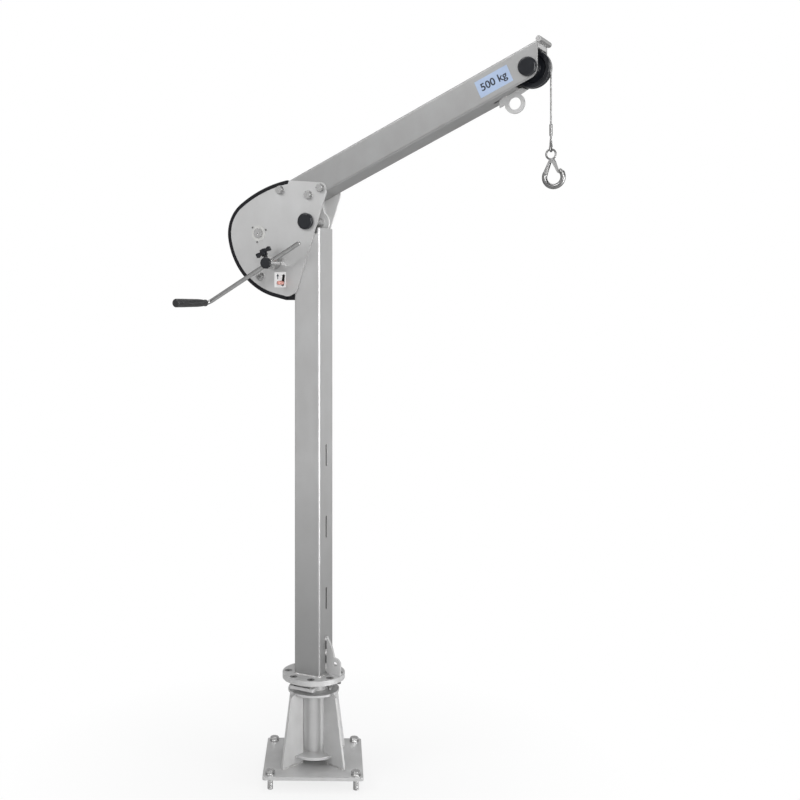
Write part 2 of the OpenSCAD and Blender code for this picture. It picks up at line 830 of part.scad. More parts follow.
module eye_bracket() {
    left = eye_at[0] - 45;
    right = eye_at[0] + 35;
    color("silver") head_slab(-eye_thick / 2, eye_thick / 2) difference() {
        union() {
            polygon([
                [left, boom_line(left, boom_lift)], [left, boom_line(left, boom_lift) - 22],
                [right, boom_line(right, boom_lift) - 13], [right, boom_line(right, boom_lift)],
            ]);
            intersection() {
                translate(eye_at) circle(r = eye_r);
                polygon([
                    [left, boom_line(left, boom_lift)], [left, 0], [right, 0], [right, boom_line(right, boom_lift)],
                ]);
            }
        }
        translate(eye_at) circle(r = eye_hole_r);
        translate(sheave_at) circle(r = sheave_d / 2 + 4);
    }
}

module capacity_label() {
    color("lightblue") boom_frame()
        translate([label_s - label_size[0] / 2, -half_w - label_film, boom_lift + half_w - 0.9 - label_size[1] / 2])
            cube([label_size[0], label_film, label_size[1]]);
}

module sheave_axle() {
    color("gray") head_rod(sheave_at, axle_d / 2, -half_w, half_w);
}

// Winch bearings
module drum_bearings() {
    color("gray") both_sides() difference() {
        union() {
            head_rod(drum_at, bearing_d / 2, plate_in, plate_out + 0.8);
            head_rod(drum_at, bearing_d / 2 + 4.5, plate_in - 3, plate_in);
        }
        head_rod(drum_at, drum_shaft_d / 2 + run_fit, 0, mast_w);
    }
}

module bearing_screws() {
    color("dimgray") both_sides() for (k = [0:2]) {
        at = drum_at + (bearing_d / 2 + 3.4) * turned(20 + 120 * k);
        head_rod(at, 3, plate_out, plate_out + 1.6);
    }
}

module crank_bushes() {
    color("gray") both_sides() difference() {
        union() {
            head_rod(crank_at, crank_bush_r, plate_in, plate_out);
            head_rod(crank_at, crank_bush_r + 3.5, plate_in - 2, plate_in);
        }
        head_rod(crank_at, crank_shaft_d / 2 + run_fit, 0, mast_w);
    }
}

// Saw teeth whose steep faces meet the pawl
module ratchet_wheel() {
    tip_r = ratchet_d / 2;
    root_r = tip_r - 5;
    step = 360 / ratchet_teeth;
    color("dimgray") translate([crank_at[0], 0, pivot_z + crank_at[1]]) across(ratchet_y, ratchet_y + ratchet_w)
        difference() {
            polygon([for (k = [0:ratchet_teeth - 1])
                let (a = ratchet_phase + k * step)
                each [tip_r * turned(a), root_r * turned(a)]]);
            circle(r = crank_shaft_d / 2 + run_fit);
        }
}

// Stud on the near plate that carries the pawl lever
module pawl_pin() {
    color("gray") {
        head_rod(pawl_at, pawl_pin_r, -plate_in, pawl_y + pawl_w + 2.5);
        difference() {
            head_rod(pawl_at, pawl_pin_r + 3.5, -plate_in, pawl_y - body_gap);
            head_rod(pawl_at, pawl_pin_r, -mast_w, mast_w);
        }
        difference() {
            head_rod(pawl_at, pawl_pin_r + 3, pawl_y + pawl_w + body_gap, pawl_y + pawl_w + 2.5);
            head_rod(pawl_at, pawl_pin_r, -mast_w, mast_w);
        }
    }
}

// Rope from the drum over the sheave, down to where it hangs free
module rope_run() {
    wrap = 90 + rope_slope;
    color("gray") {
        strut([rope_start[0], 0, pivot_z + rope_start[1]], [rope_end[0], 0, pivot_z + rope_end[1]], rope_r, rope_r);
        translate([sheave_at[0], 0, pivot_z + sheave_at[1]]) rotate([90, 0, 0])
            rotate_extrude(angle = wrap - 0.05) translate([sheave_rope_r, 0]) circle(r = rope_r, $fn = 32);
    }
}

// Gears
function involute(a) = tan(a) * 180 / PI - a;

// Half the angle that a tooth takes at a radius, in degrees
function tooth_half(r, teeth, slack) =
    let (pitch_r = gear_module * teeth / 2, base_r = pitch_r * cos(pressure_angle), at = max(r, base_r))
    90 / teeth - slack / pitch_r * 90 / PI + involute(pressure_angle) - involute(acos(base_r / at));

module gear_outline(teeth, turn) {
    pitch_r = gear_module * teeth / 2;
    base_r = pitch_r * cos(pressure_angle);
    root_r = pitch_r - 1.25 * gear_module;
    tip_r = pitch_r + gear_module;
    first = max(root_r, base_r);
    radii = concat([root_r], [for (i = [0:4]) first + (tip_r - first) * i / 4]);
    polygon([for (k = [0:teeth - 1])
        let (a = turn + k * 360 / teeth)
        each concat(
            [for (r = radii) r * turned(a - tooth_half(r, teeth, backlash))],
            [for (i = [len(radii) - 1:-1:0]) radii[i] * turned(a + tooth_half(radii[i], teeth, backlash))]
        )]);
}

// Drum and its shaft
module drum() {
    color("silver") difference() {
        union() {
            head_rod(drum_at, drum_core_d / 2, drum_y0, drum_y1);
            head_rod(drum_at, drum_flange_d / 2, drum_y0 - drum_flange_w, drum_y0);
            head_rod(drum_at, drum_flange_d / 2, drum_y1, drum_y1 + drum_flange_w);
        }
        head_rod(drum_at, drum_shaft_d / 2, -mast_w, mast_w);
    }
}

module drum_shaft() {
    color("gray") difference() {
        head_rod(drum_at, drum_shaft_d / 2, -plate_out - 5, plate_out + 2);
        translate([drum_at[0], -plate_out - 5.01, pivot_z + drum_at[1]]) rotate([-90, 0, 0])
            cylinder(d1 = 7, d2 = 1, h = 4);
    }
}

module gear_wheel() {
    hub_r = drum_shaft_d / 2 + 12;
    rim_r = gear_module * wheel_teeth / 2 - 10;
    hole_r = (rim_r - hub_r) / 2 - 4;
    recess = 2.5;
    color("gray") difference() {
        translate([drum_at[0], 0, pivot_z + drum_at[1]]) across(gear_y, gear_y + gear_face) difference() {
            gear_outline(wheel_teeth, gear_line);
            circle(d = drum_shaft_d);
            for (k = [0:5])
                translate((hub_r + rim_r) / 2 * turned(60 * k)) circle(r = hole_r);
        }
        for (y = [gear_y - 1, gear_y + gear_face - recess])
            difference() {
                head_rod(drum_at, rim_r, y, y + recess + 1);
                head_rod(drum_at, hub_r, y - 1, y + recess + 2);
            }
    }
}

// Rope laid on the drum, a plain sleeve since the plates and the strip hide it
module rope_winding() {
    color("gray") difference() {
        head_rod(drum_at, drum_rope_r - rope_r - body_gap, drum_y0, drum_y1);
        head_rod(drum_at, drum_core_d / 2, -mast_w, mast_w);
    }
}

// Crank shaft and its brake
module crank_shaft() {
    color("gray") {
        head_rod(crank_at, crank_shaft_d / 2, shaft_end, plate_out + 0.5);
        difference() {
            head_rod(crank_at, crank_shaft_d / 2 + 2, plate_out + 0.5, plate_out + 2);
            head_rod(crank_at, crank_shaft_d / 2 - 6, plate_out - 1, mast_w);
        }
    }
}

module pinion() {
    color("gray") translate([crank_at[0], 0, pivot_z + crank_at[1]]) across(gear_y - 1, gear_y + gear_face + 1)
        difference() {
            gear_outline(pinion_teeth, gear_line);
            circle(d = crank_shaft_d);
        }
}

// One friction disc on each side of the ratchet wheel
module brake_discs() {
    color("saddlebrown") for (y = [ratchet_y - body_gap - disc_w, ratchet_y + ratchet_w + body_gap])
        difference() {
            head_rod(crank_at, ratchet_d / 2 - 6, y, y + disc_w);
            head_rod(crank_at, crank_shaft_d / 2, y - 1, y + disc_w + 1);
        }
}

// Plate behind the outer disc, and the nut that presses on the inner one
module brake_hub() {
    outer = ratchet_y - body_gap - disc_w;
    inner = ratchet_y + ratchet_w + body_gap + disc_w;
    color("gray") difference() {
        union() {
            head_rod(crank_at, ratchet_d / 2 - 8, outer - 2.6, outer);
            head_rod(crank_at, ratchet_d / 2 - 8, inner, inner + 6);
            head_rod(crank_at, crank_shaft_d / 2 + 6, inner + 6, inner + 20);
        }
        head_rod(crank_at, crank_shaft_d / 2, -mast_w, mast_w);
    }
}

// Crank
module at_rod() translate([crank_at[0], rod_y, pivot_z + crank_at[1]]) rotate([0, -rod_turn, 0]) children();

module crank_hub() {
    color("silver") difference() {
        union() {
            head_rod(crank_at, hub_d / 2 - 1.5, hub_end, hub_end + 1.5);
            head_rod(crank_at, hub_d / 2, hub_end + 1.5, -hub_y);
        }
        head_rod(crank_at, crank_shaft_d / 2, shaft_end, 0);
        at_rod() {
            rotate([0, 90, 0]) cylinder(r = rod_d / 2 + run_fit, h = 2 * hub_d, center = true);
            cylinder(r = screw_r + run_fit, h = hub_d);
        }
    }
}

module hub_cap() {
    color("black") translate([crank_at[0], hub_end, pivot_z + crank_at[1]]) rotate([90, 0, 0])
        end_cap(hub_d - 1, hub_cap_h);
}

// Bent rod that slides through the hub
module crank_rod() {
    straight = rod_long - bend_r;
    core_end = grip_start - grip_len + 6;
    color("silver") at_rod() {
        translate([-straight, 0, 0]) rotate([0, 90, 0]) cylinder(d = rod_d, h = straight + rod_short - 1);
        translate([rod_short - 1, 0, 0]) rotate([0, 90, 0]) cylinder(d1 = rod_d, d2 = rod_d - 2, h = 1);
        translate([-straight, -bend_r, 0]) rotate(90) rotate_extrude(angle = 90)
            translate([bend_r, 0]) circle(d = rod_d, $fn = 48);
        translate([-rod_long, -bend_r, 0]) rotate([90, 0, 0]) cylinder(d = rod_d, h = rod_y - bend_r - core_end);
        translate([-rod_long, -bend_r, 0]) rotate([90, 0, 0]) cylinder(d = rod_d + 4, h = 1.2);
    }
}

// Grip that spins on the rod, thin at the bend and thick at its end
module crank_grip() {
    bore = rod_d / 2 + run_fit;
    near_r = rod_d / 2 + 4;
    far_r = rod_d / 2 + 6.5;
    color("black") at_rod() translate([-rod_long, grip_start - rod_y, 0]) rotate([90, 0, 0]) rotate_extrude()
        difference() {
            union() {
                polygon([
                    [0, 0], [near_r - 1, 0], [near_r, 1.5], [near_r, 4], [near_r - 1, 6], [far_r - 1.5, 45],
                    [far_r - 1, grip_len * 0.6], [far_r, grip_len - 12], [far_r, grip_len - 5], [far_r - 5, grip_len],
                    [0, grip_len],
                ]);
                intersection() {
                    translate([far_r - 5, grip_len - 5]) circle(r = 5);
                    translate([far_r - 5, grip_len - 5]) square(5);
                }
            }
            translate([-1, -1]) square([bore + 1, grip_len - 4]);
        }
}

// Wing screw that clamps the rod in its hub
module wing_screw() {
    tip = rod_d / 2 + body_gap;
    seat = hub_d / 2 + 1.5;
    color("dimgray") at_rod() {
        translate([0, 0, tip]) cylinder(r = screw_r, h = seat + 10 - tip);
        translate([0, 0, seat]) cylinder(r = 6, h = 8);
        translate([0, 0, seat + 8]) cylinder(r = 10, h = 20);
        translate([0, 0, seat + 20]) rotate([90, 0, 0]) translate([0, 0, -5]) linear_extrude(10)
            rounded([[-27, -9], [-9, -4], [9, -4], [27, -9], [27, 7], [9, 4], [-9, 4], [-27, 7]],
                [3, 0, 0, 3, 3, 0, 0, 3]);
    }
}

// Lever with the pawl on one arm and the release knob's stalk on the other
module pawl_lever() {
    color("dimgray") difference() {
        union() {
            head_slab(pawl_y, pawl_y + pawl_w) {
                translate(pawl_at) circle(r = 9);
                polygon([
                    [-137.6, -145], [-141.2, -146.9], [-143.5, -153], [-136.2, -180.5], [-122, -171], [-136.5, -155],
                ]);
                polygon([
                    pawl_at + [-2, -8.5], pawl_at + [3, 8.4], knob_at + [1, 5.5], knob_at + [-1, -5.5],
                ]);
                translate(knob_at) circle(r = 5.6);
            }
            head_rod(knob_at, stalk_r, knob_end + 12, pawl_y + 1);
        }
        head_rod(pawl_at, pawl_pin_r + run_fit, -mast_w, mast_w);
    }
}

module lever_knob() {
    r = 6.3;
    color("salmon") translate([knob_at[0], -plate_out - 1.8, pivot_z + knob_at[1]]) rotate([90, 0, 0])
        rotate_extrude() difference() {
            len = -plate_out - 1.8 - knob_end;
            intersection() {
                union() {
                    translate([0, 3]) square([r, len - 3 - r]);
                    square([r - 3, 6]);
                    translate([r - 3, 3]) circle(r = 3);
                    translate([0, len - r]) circle(r = r);
                }
                square([r + 1, len + 1]);
            }
            translate([-1, -1]) square([stalk_r + 1, len - 11]);
        }
}

// Sheave and its bush
module sheave() {
    rim_r = sheave_d / 2;
    half = sheave_w / 2;
    color("black") translate([sheave_at[0], 0, pivot_z + sheave_at[1]]) rotate([90, 0, 0]) rotate_extrude()
        difference() {
            polygon([
                [sheave_hub_r, -half], [sheave_hub_r + 8, -half], [sheave_hub_r + 9, -half + 6],
                [rim_r - 15, -half + 6], [rim_r - 13, -half], [rim_r - 2, -half], [rim_r, -half + 2], [rim_r, half - 2],
                [rim_r - 2, half], [rim_r - 13, half], [rim_r - 15, half - 6], [sheave_hub_r + 9, half - 6],
                [sheave_hub_r + 8, half], [sheave_hub_r, half],
            ]);
            translate([sheave_rope_r, 0]) circle(r = rope_r + body_gap, $fn = 32);
            polygon([
                [sheave_rope_r, -rope_r - body_gap], [rim_r + 1, -rope_r - 1.5], [rim_r + 1, rope_r + 1.5],
                [sheave_rope_r, rope_r + body_gap],
            ]);
        }
}

module sheave_bush() {
    color("goldenrod") spacer(sheave_at, sheave_hub_r, axle_d / 2 + run_fit, -sheave_w / 2, sheave_w / 2);
}

// Rope's free stretch and its end
module rope_drop() {
    color("gray") translate([drop_x, 0, ferrule_top]) cylinder(r = rope_r, h = drop_len);
}

module rope_ferrule() {
    color("silver") translate([drop_x, 0, loop_top]) {
        cylinder(d1 = ferrule_d - 2, d2 = ferrule_d, h = 2);
        translate([0, 0, 2]) cylinder(d = ferrule_d, h = ferrule_len - 4);
        translate([0, 0, ferrule_len - 2]) cylinder(d1 = ferrule_d, d2 = ferrule_d - 2, h = 2);
    }
}

// Drop-shaped loop of rope and thimble below the ferrule
module rope_thimble() {
    round_z = loop_low + loop_half_w;
    color("silver") translate([drop_x, 0, 0]) {
        for (side = [-1, 1])
            strut([0, side * 1.6, loop_top], [0, side * loop_half_w, round_z], 1.8, loop_wire_r - 0.1);
        translate([0, 0, round_z]) rotate([0, 90, 0]) rotate_extrude() translate([loop_half_w, 0])
            circle(r = loop_wire_r, $fn = 32);
    }
}

// Hook with a round eye, and the lug that carries its latch
module hook() {
    neck_low = bowl_at + bowl_r * turned(neck_turn);
    neck_high = [drop_x, hook_eye_z - eye_mean_r];
    neck_foot = neck_low - 3 * unit(neck_high - neck_low);
    tip_at = bowl_at + bowl_r * turned(tip_turn);
    tip_end = tip_at + 8 * turned(tip_turn + 92);
    tip_foot = tip_at - 2 * turned(tip_turn + 92);
    tip_r = bowl_d * 0.3;
    tip_ball = tip_end - 0.8 * turned(tip_turn + 92);
    neck_r = bowl_d * 0.28;
    color("silver") difference() {
        union() {
            translate([drop_x, 0, hook_eye_z]) rotate([90, 0, 0]) rotate_extrude()
                translate([eye_mean_r, 0]) circle(d = hook_eye_wire, $fn = 32);
            translate([bowl_at[0], 0, bowl_at[1]]) rotate([90, 0, 0]) rotate(neck_turn)
                rotate_extrude(angle = 360 + tip_turn - neck_turn) translate([bowl_r, 0]) circle(d = bowl_d, $fn = 48);
            strut([neck_foot[0], 0, neck_foot[1]], [neck_high[0], 0, neck_high[1]], bowl_d / 2 - 0.3, neck_r);
            strut([tip_foot[0], 0, tip_foot[1]], [tip_end[0], 0, tip_end[1]], bowl_d / 2 - 0.2, tip_r - 0.4);
            translate([tip_ball[0], 0, tip_ball[1]]) sphere(r = tip_r, $fn = 48);
            translate([latch_at[0], lug_half, latch_at[1]]) rotate([90, 0, 0]) cylinder(r = lug_r, h = 2 * lug_half);
        }
        translate([latch_at[0], mast_w, latch_at[1]]) rotate([90, 0, 0]) cylinder(r = latch_pin_r, h = 2 * mast_w);
    }
}

module latch_pin() {
    reach = lug_half + 0.3 + latch_side_w + 0.8;
    color("gray") translate([latch_at[0], 0, latch_at[1]]) both_sides() {
        translate([0, tiny, 0]) rotate([90, 0, 0]) cylinder(r = latch_pin_r, h = reach + tiny);
        translate([0, -reach, 0]) rotate([90, 0, 0]) cylinder(r = latch_pin_r + 0.8, h = 1);
    }
}

// Folded latch: two sides on the pin and a tongue that rests inside the hook's tip
module hook_latch() {
    side_in = lug_half + 0.3;
    side_out = side_in + latch_side_w;
    color("silver") difference() {
        translate([latch_at[0], 0, latch_at[1]]) {
            both_sides() across(side_in, side_out) rotate(latch_dir) {
                circle(r = lug_r);
                polygon([[0, -lug_r], [latch_len, -1.6], [latch_len, 1.6], [9, 5.2], [0, lug_r]]);
            }
            across(-side_out, side_out) rotate(latch_dir)
                polygon([[9, 3.8], [9, 5.2], [latch_len + 1, 1.6], [latch_len + 1, 0.2]]);
        }
        translate([latch_at[0], mast_w, latch_at[1]]) rotate([90, 0, 0])
            cylinder(r = latch_pin_r + run_fit, h = 2 * mast_w);
    }
}

base_plate();
pedestal_ribs();
bearing_rings();
spindle_bushes();
anchor_bolts();
anchor_washers();
spindle_tube();
retaining_ring();
lower_flange();
mast_flange();
flange_bolts();
flange_nuts();
lock_bar();
mast_tube();
parking_lug();
side_plate_near();
side_plate_far();
cover_strip();
pivot_pin();
end_caps();
head_bolts();
head_nuts();
head_washers();
spacer_tubes();
boom_tube();
tip_web();
boom_ears();
cross_rod();
eye_bracket();
capacity_label();
sheave_axle();
drum_bearings();
bearing_screws();
crank_bushes();
ratchet_wheel();
pawl_pin();
rope_run();
drum();
drum_shaft();
gear_wheel();
rope_winding();
crank_shaft();
pinion();
brake_discs();
brake_hub();
crank_hub();
hub_cap();
crank_rod();
crank_grip();
wing_screw();
pawl_lever();
lever_knob();
sheave();
sheave_bush();
rope_drop();
rope_ferrule();
rope_thimble();
hook();
latch_pin();
hook_latch();
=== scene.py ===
"""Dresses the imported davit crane: camera, light, finishes, rope, pedestal, welds and labels."""

import json
import logging
import math
from collections.abc import Callable, Sequence
from dataclasses import dataclass
from enum import Enum

import bmesh
import bpy
from mathutils import Matrix, Vector

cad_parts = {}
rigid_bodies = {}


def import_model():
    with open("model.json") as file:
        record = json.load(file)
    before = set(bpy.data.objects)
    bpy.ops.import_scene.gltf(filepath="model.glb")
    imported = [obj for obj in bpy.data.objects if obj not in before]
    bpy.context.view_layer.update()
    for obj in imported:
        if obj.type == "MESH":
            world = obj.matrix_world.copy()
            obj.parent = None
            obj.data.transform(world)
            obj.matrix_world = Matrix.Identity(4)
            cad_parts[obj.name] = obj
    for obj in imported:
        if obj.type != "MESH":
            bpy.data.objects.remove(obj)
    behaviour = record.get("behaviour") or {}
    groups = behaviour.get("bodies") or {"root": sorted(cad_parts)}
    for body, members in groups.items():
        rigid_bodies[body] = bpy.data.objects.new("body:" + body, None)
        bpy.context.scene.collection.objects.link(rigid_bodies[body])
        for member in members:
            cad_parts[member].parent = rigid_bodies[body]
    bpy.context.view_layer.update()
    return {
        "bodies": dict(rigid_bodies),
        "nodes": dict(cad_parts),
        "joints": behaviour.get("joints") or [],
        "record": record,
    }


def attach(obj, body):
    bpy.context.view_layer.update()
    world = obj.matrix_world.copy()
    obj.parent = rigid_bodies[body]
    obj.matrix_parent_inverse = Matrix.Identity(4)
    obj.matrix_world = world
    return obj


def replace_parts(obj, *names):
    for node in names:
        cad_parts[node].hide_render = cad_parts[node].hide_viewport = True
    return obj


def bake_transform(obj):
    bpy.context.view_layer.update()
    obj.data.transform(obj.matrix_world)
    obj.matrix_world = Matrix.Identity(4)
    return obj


LOG = logging.getLogger("davit")
MM = 0.001
BEVEL_SAMPLES = 4
MERGE_DISTANCE = 1e-6
# Inputs and output of the Mix node that carry colours
MIX_SHARE, MIX_FIRST, MIX_SECOND, MIX_RESULT = 0, 6, 7, 2

Pair = tuple[float, float]
Point = tuple[float, float, float]
Colour = tuple[float, float, float, float]


def set_stops(ramp: bpy.types.ColorRamp, stops: Sequence[Pair]) -> None:
    """Gives a ramp its stops, each a place and a grey."""
    while len(ramp.elements) < len(stops):
        ramp.elements.new(1.0)
    for element, (place, tone) in zip(ramp.elements, stops):
        element.position = place
        element.color = (tone, tone, tone, 1.0)


def grey(value: float, warm: float = 0.0) -> Colour:
    """A grey, made a little warmer or cooler."""
    return (value + warm, value, value - warm, 1.0)


def maths(operation: str, swap: bool = False) -> Callable[["Socket", object], "Socket"]:
    """Makes an operator that adds one Math node.

    Args:
        operation: The Math node's operation.
        swap: True where the operator's own socket comes second.

    Returns:
        The operator.
    """

    def apply(own: "Socket", other: object) -> "Socket":
        """Adds the node and gives its result."""
        first, second = (other, own) if swap else (own, other)
        return own.nodes.node("ShaderNodeMath", {"operation": operation}, {0: first, 1: second})

    return apply


class Socket:
    """A node's output that takes part in shader maths."""

    __add__ = __radd__ = maths("ADD")
    __sub__ = maths("SUBTRACT")
    __rsub__ = maths("SUBTRACT", swap=True)
    __mul__ = __rmul__ = maths("MULTIPLY")
    __gt__ = maths("GREATER_THAN")

    def __init__(self, nodes: "Nodes", out: bpy.types.NodeSocket) -> None:
        """Keeps the nodes that the output belongs to, and the output."""
        self.nodes = nodes
        self.out = out


class Nodes:
    """A node tree under construction."""

    def __init__(self, tree: bpy.types.NodeTree) -> None:
        """Empties the tree."""
        self.tree = tree
        self.tree.nodes.clear()

    def node(self, kind: str, settings: dict, inputs: dict, output: int | str = 0) -> Socket:
        """Adds a node of any kind.

        Args:
            kind: The node's type.
            settings: Properties, set before the inputs; a ramp's stops come as "stops".
            inputs: Values or sockets by input name or number.
            output: Name or number of the output that is wanted.

        Returns:
            The wanted output.
        """
        made = self.tree.nodes.new(kind)
        for key, value in settings.items():
            if key == "stops":
                set_stops(made.color_ramp, value)
            else:
                setattr(made, key, value)
        for key, value in inputs.items():
            self.feed(made.inputs[key], value)
        return Socket(self, made.outputs[output])

    def feed(self, target: bpy.types.NodeSocket, value: object) -> None:
        """Links a socket to an input, or sets the input to a value."""
        if isinstance(value, Socket):
            self.tree.links.new(value.out, target)
        else:
            target.default_value = value

    def ramp(self, value: Socket, *stops: Pair) -> Socket:
        """A grey ramp over a value."""
        return self.node("ShaderNodeValToRGB", {"stops": stops}, {"Fac": value})


class Shader(Nodes):
    """A material under construction, with one Principled BSDF."""

    def __init__(self, name: str) -> None:
        """Makes an empty material of that name."""
        self.material = bpy.data.materials.new(name)
        self.material.use_nodes = True
        super().__init__(self.material.node_tree)
        self.surface = self.tree.nodes.new("ShaderNodeBsdfPrincipled")
        self.output = self.tree.nodes.new("ShaderNodeOutputMaterial").inputs["Surface"]
        self.tree.links.new(self.surface.outputs["BSDF"], self.output)

    def set(self, **values: object) -> None:
        """Sets or links inputs of the Principled BSDF, named with underscores for spaces."""
        for key, value in values.items():
            self.feed(self.surface.inputs[key.replace("_", " ")], value)

    def place(self, scale: Point = (1.0, 1.0, 1.0), start: Point = (0.0, 0.0, 0.0)) -> Socket:
        """Object coordinates, scaled and shifted.

        Args:
            scale: Factors along X, Y and Z.
            start: Shift in metres.

        Returns:
            The mapped vector.
        """
        source = self.node("ShaderNodeTexCoord", {}, {}, "Object")
        inputs = {"Vector": source, "Scale": scale, "Location": start}
        return self.node("ShaderNodeMapping", {}, inputs)

    def noise(
        self, vector: Socket, scale: float, detail: float = 3.0, rough: float = 0.55
    ) -> Socket:
        """A noise value from 0 to 1."""
        inputs = {"Vector": vector, "Scale": scale, "Detail": detail, "Roughness": rough}
        return self.node("ShaderNodeTexNoise", {}, inputs)

    def mix(self, share: Socket | float, a: object, b: object) -> Socket:
        """Mixes two colours.

        Args:
            share: How much of the second colour.
            a: The first colour.
            b: The second colour.

        Returns:
            The mixed colour.
        """
        inputs = {MIX_SHARE: share, MIX_FIRST: a, MIX_SECOND: b}
        return self.node("ShaderNodeMix", {"data_type": "RGBA"}, inputs, MIX_RESULT)

    def bump(self, height: Socket, depth: float, edge: float = 0.0) -> Socket:
        """A bumped normal.

        Args:
            height: The height from 0 to 1.
            depth: The depth of the bump in metres.
            edge: Radius in metres of the rounding given to sharp edges, or 0 for none.

        Returns:
            The normal.
        """
        inputs = {"Height": height, "Distance": depth, "Strength": 1.0}
        if edge:
            inputs["Normal"] = self.rounding(edge)
        return self.node("ShaderNodeBump", {}, inputs)

    def rounding(self, radius: float) -> Socket:
        """The surface's normal with sharp edges rounded to a radius in metres."""
        return self.node("ShaderNodeBevel", {"samples": BEVEL_SAMPLES}, {"Radius": radius})

    def along(self, vector: Socket, axis: str) -> Socket:
        """One coordinate of a vector."""
        return self.node("ShaderNodeSeparateXYZ", {}, {"Vector": vector}, axis)

    def within(self, vector: Socket, half: float) -> Socket:
        """A mask that is 1 inside a square bore along Z."""
        x, y = (
            self.node("ShaderNodeMath", {"operation": "ABSOLUTE"}, {0: self.along(vector, axis)})
            for axis in ("X", "Y")
        )
        return (1.0 - (x > half)) * (1.0 - (y > half))

    def edges(self, radius: float) -> Socket:
        """A mask that is 1 along sharp edges and 0 on flat faces."""
        flat = self.node("ShaderNodeNewGeometry", {}, {}, "Normal")
        inputs = {0: self.rounding(radius), 1: flat}
        same = self.node("ShaderNodeVectorMath", {"operation": "DOT_PRODUCT"}, inputs, "Value")
        return self.ramp(1.0 - same, (0.02, 0.0), (0.25, 1.0))


@dataclass(frozen=True)
class BlastedSteel:
    """Stainless steel with a blasted satin skin: soft clouds, fine grain and painted edge
    highlights.

    Attributes:
        cloud: Range of grey from cloud to cloud.
        bore: Half width in metres of a square bore along Z whose inside is painted near black as
            shade, or 0 for none.
        foot: How far the tone falls toward the foot of the crane, as painted shade, from 0 to 1.
        foot_shade_span: Heights in metres between which that painted shade fades out.
        edge: Radius in metres of the rounding given to sharp edges.
        edge_highlight: Width in metres of the painted highlights along sharp edges.
    """

    name: str
    tone: float = 0.50
    roughness: float = 0.42
    cloud: float = 0.10
    metal: float = 0.82
    bore: float = 0.0
    foot: float = 0.0
    foot_shade_span: Pair = (0.38, 0.95)
    grain_depth: float = 0.00002
    cloud_scale: float = 9.0
    patch_scale: float = 28.0
    grain_scale: float = 2600.0
    speck_scale: float = 900.0
    edge: float = 0.0009
    edge_highlight: float = 0.0012

    def build(self) -> bpy.types.Material:
        """Returns the finished material."""
        s = Shader(self.name)
        flat = s.place()
        clouds = s.noise(flat, self.cloud_scale, 4.0)
        drawn = s.place(scale=(1.0, 1.0, 0.35), start=(3.0, 1.0, 2.0))
        patches = s.noise(drawn, self.patch_scale)
        grain = s.noise(flat, self.grain_scale, 2.0, 0.7)
        specks = s.ramp(s.noise(flat, self.speck_scale, 2.0), (0.45, 0.0), (0.75, 1.0))
        shade = s.ramp(clouds * 0.6 + patches * 0.4, (0.3, 0.0), (0.7, 1.0))
        half = self.cloud / 2
        colour = s.mix(shade, grey(self.tone - half, 0.002), grey(self.tone + half, -0.002))
        colour = s.mix(specks * 0.12, colour, grey(self.tone * 0.7))
        # Painted shade: the steel is darkened toward the crane's foot.
        if self.foot:
            low, high = self.foot_shade_span
            painted_foot_shade = s.ramp(s.along(flat, "Z"), (low, 1.0), (high, 0.0))
            colour = s.mix(painted_foot_shade * self.foot, colour, grey(self.tone * 0.5))
        # Painted highlight: sharp edges are painted a brighter grey.
        edge_highlight_grey = grey(min(1.0, self.tone + 0.22))
        colour = s.mix(s.edges(self.edge_highlight) * 0.45, colour, edge_highlight_grey)
        # Painted shade: inside the square bore the colour is near black.
        if self.bore:
            colour = s.mix(s.within(flat, self.bore), colour, grey(0.004))
        s.set(
            Base_Color=colour,
            Metallic=self.metal,
            Roughness=self.roughness + 0.14 * patches - 0.07 + 0.05 * grain,
            Normal=s.bump(grain * 0.7 + specks * 0.3, self.grain_depth, self.edge),
        )
        return s.material


@dataclass(frozen=True)
class TurnedSteel:
    """Bright steel that was turned or ground, with soft dents and dull marks."""

    name: str
    tone: float = 0.62
    roughness: float = 0.26
    dents: float = 60.0
    depth: float = 0.00004
    mark_scale: float = 120.0

    def build(self) -> bpy.types.Material:
        """Returns the finished material."""
        s = Shader(self.name)
        flat = s.place()
        dents = s.noise(flat, self.dents, 2.0)
        dull = s.ramp(s.noise(flat, self.mark_scale, 4.0), (0.42, 0.0), (0.68, 1.0))
        s.set(
            Base_Color=s.mix(dull * 0.8, grey(self.tone), grey(self.tone * 0.8, 0.004)),
            Metallic=1.0,
            Roughness=self.roughness + 0.14 * dull,
            Normal=s.bump(dents, self.depth),
        )
        return s.material


@dataclass(frozen=True)
class MouldedPlastic:
    """Moulded plastic: a faint grain, slight mottling and painted highlights along the edges."""

    name: str
    colour: Colour
    roughness: float = 0.25
    grain: float = 0.00003
    gloss: float = 0.5
    edge: float = 0.0008
    edge_highlight: float = 0.0008
    grain_scale: float = 700.0
    mottle_scale: float = 45.0

    def build(self) -> bpy.types.Material:
        """Returns the finished material."""
        s = Shader(self.name)
        flat = s.place()
        mottle = s.noise(flat, self.mottle_scale, 4.0)
        grain = s.noise(flat, self.grain_scale, 2.0)
        light = tuple(min(1.0, c * 1.4 + 0.004) for c in self.colour[:3]) + (1.0,)
        mottled = s.ramp(mottle, (0.35, 0.0), (0.75, 1.0)) * 0.35
        colour = s.mix(mottled, self.colour, light)
        s.set(
            # Painted highlight: sharp edges are painted a paler colour.
            Base_Color=s.mix(s.edges(self.edge_highlight) * 0.35, colour, light),
            Roughness=self.roughness + 0.12 * mottle - 0.04,
            Specular_IOR_Level=self.gloss,
            Normal=s.bump(grain, self.grain, self.edge),
        )
        return s.material


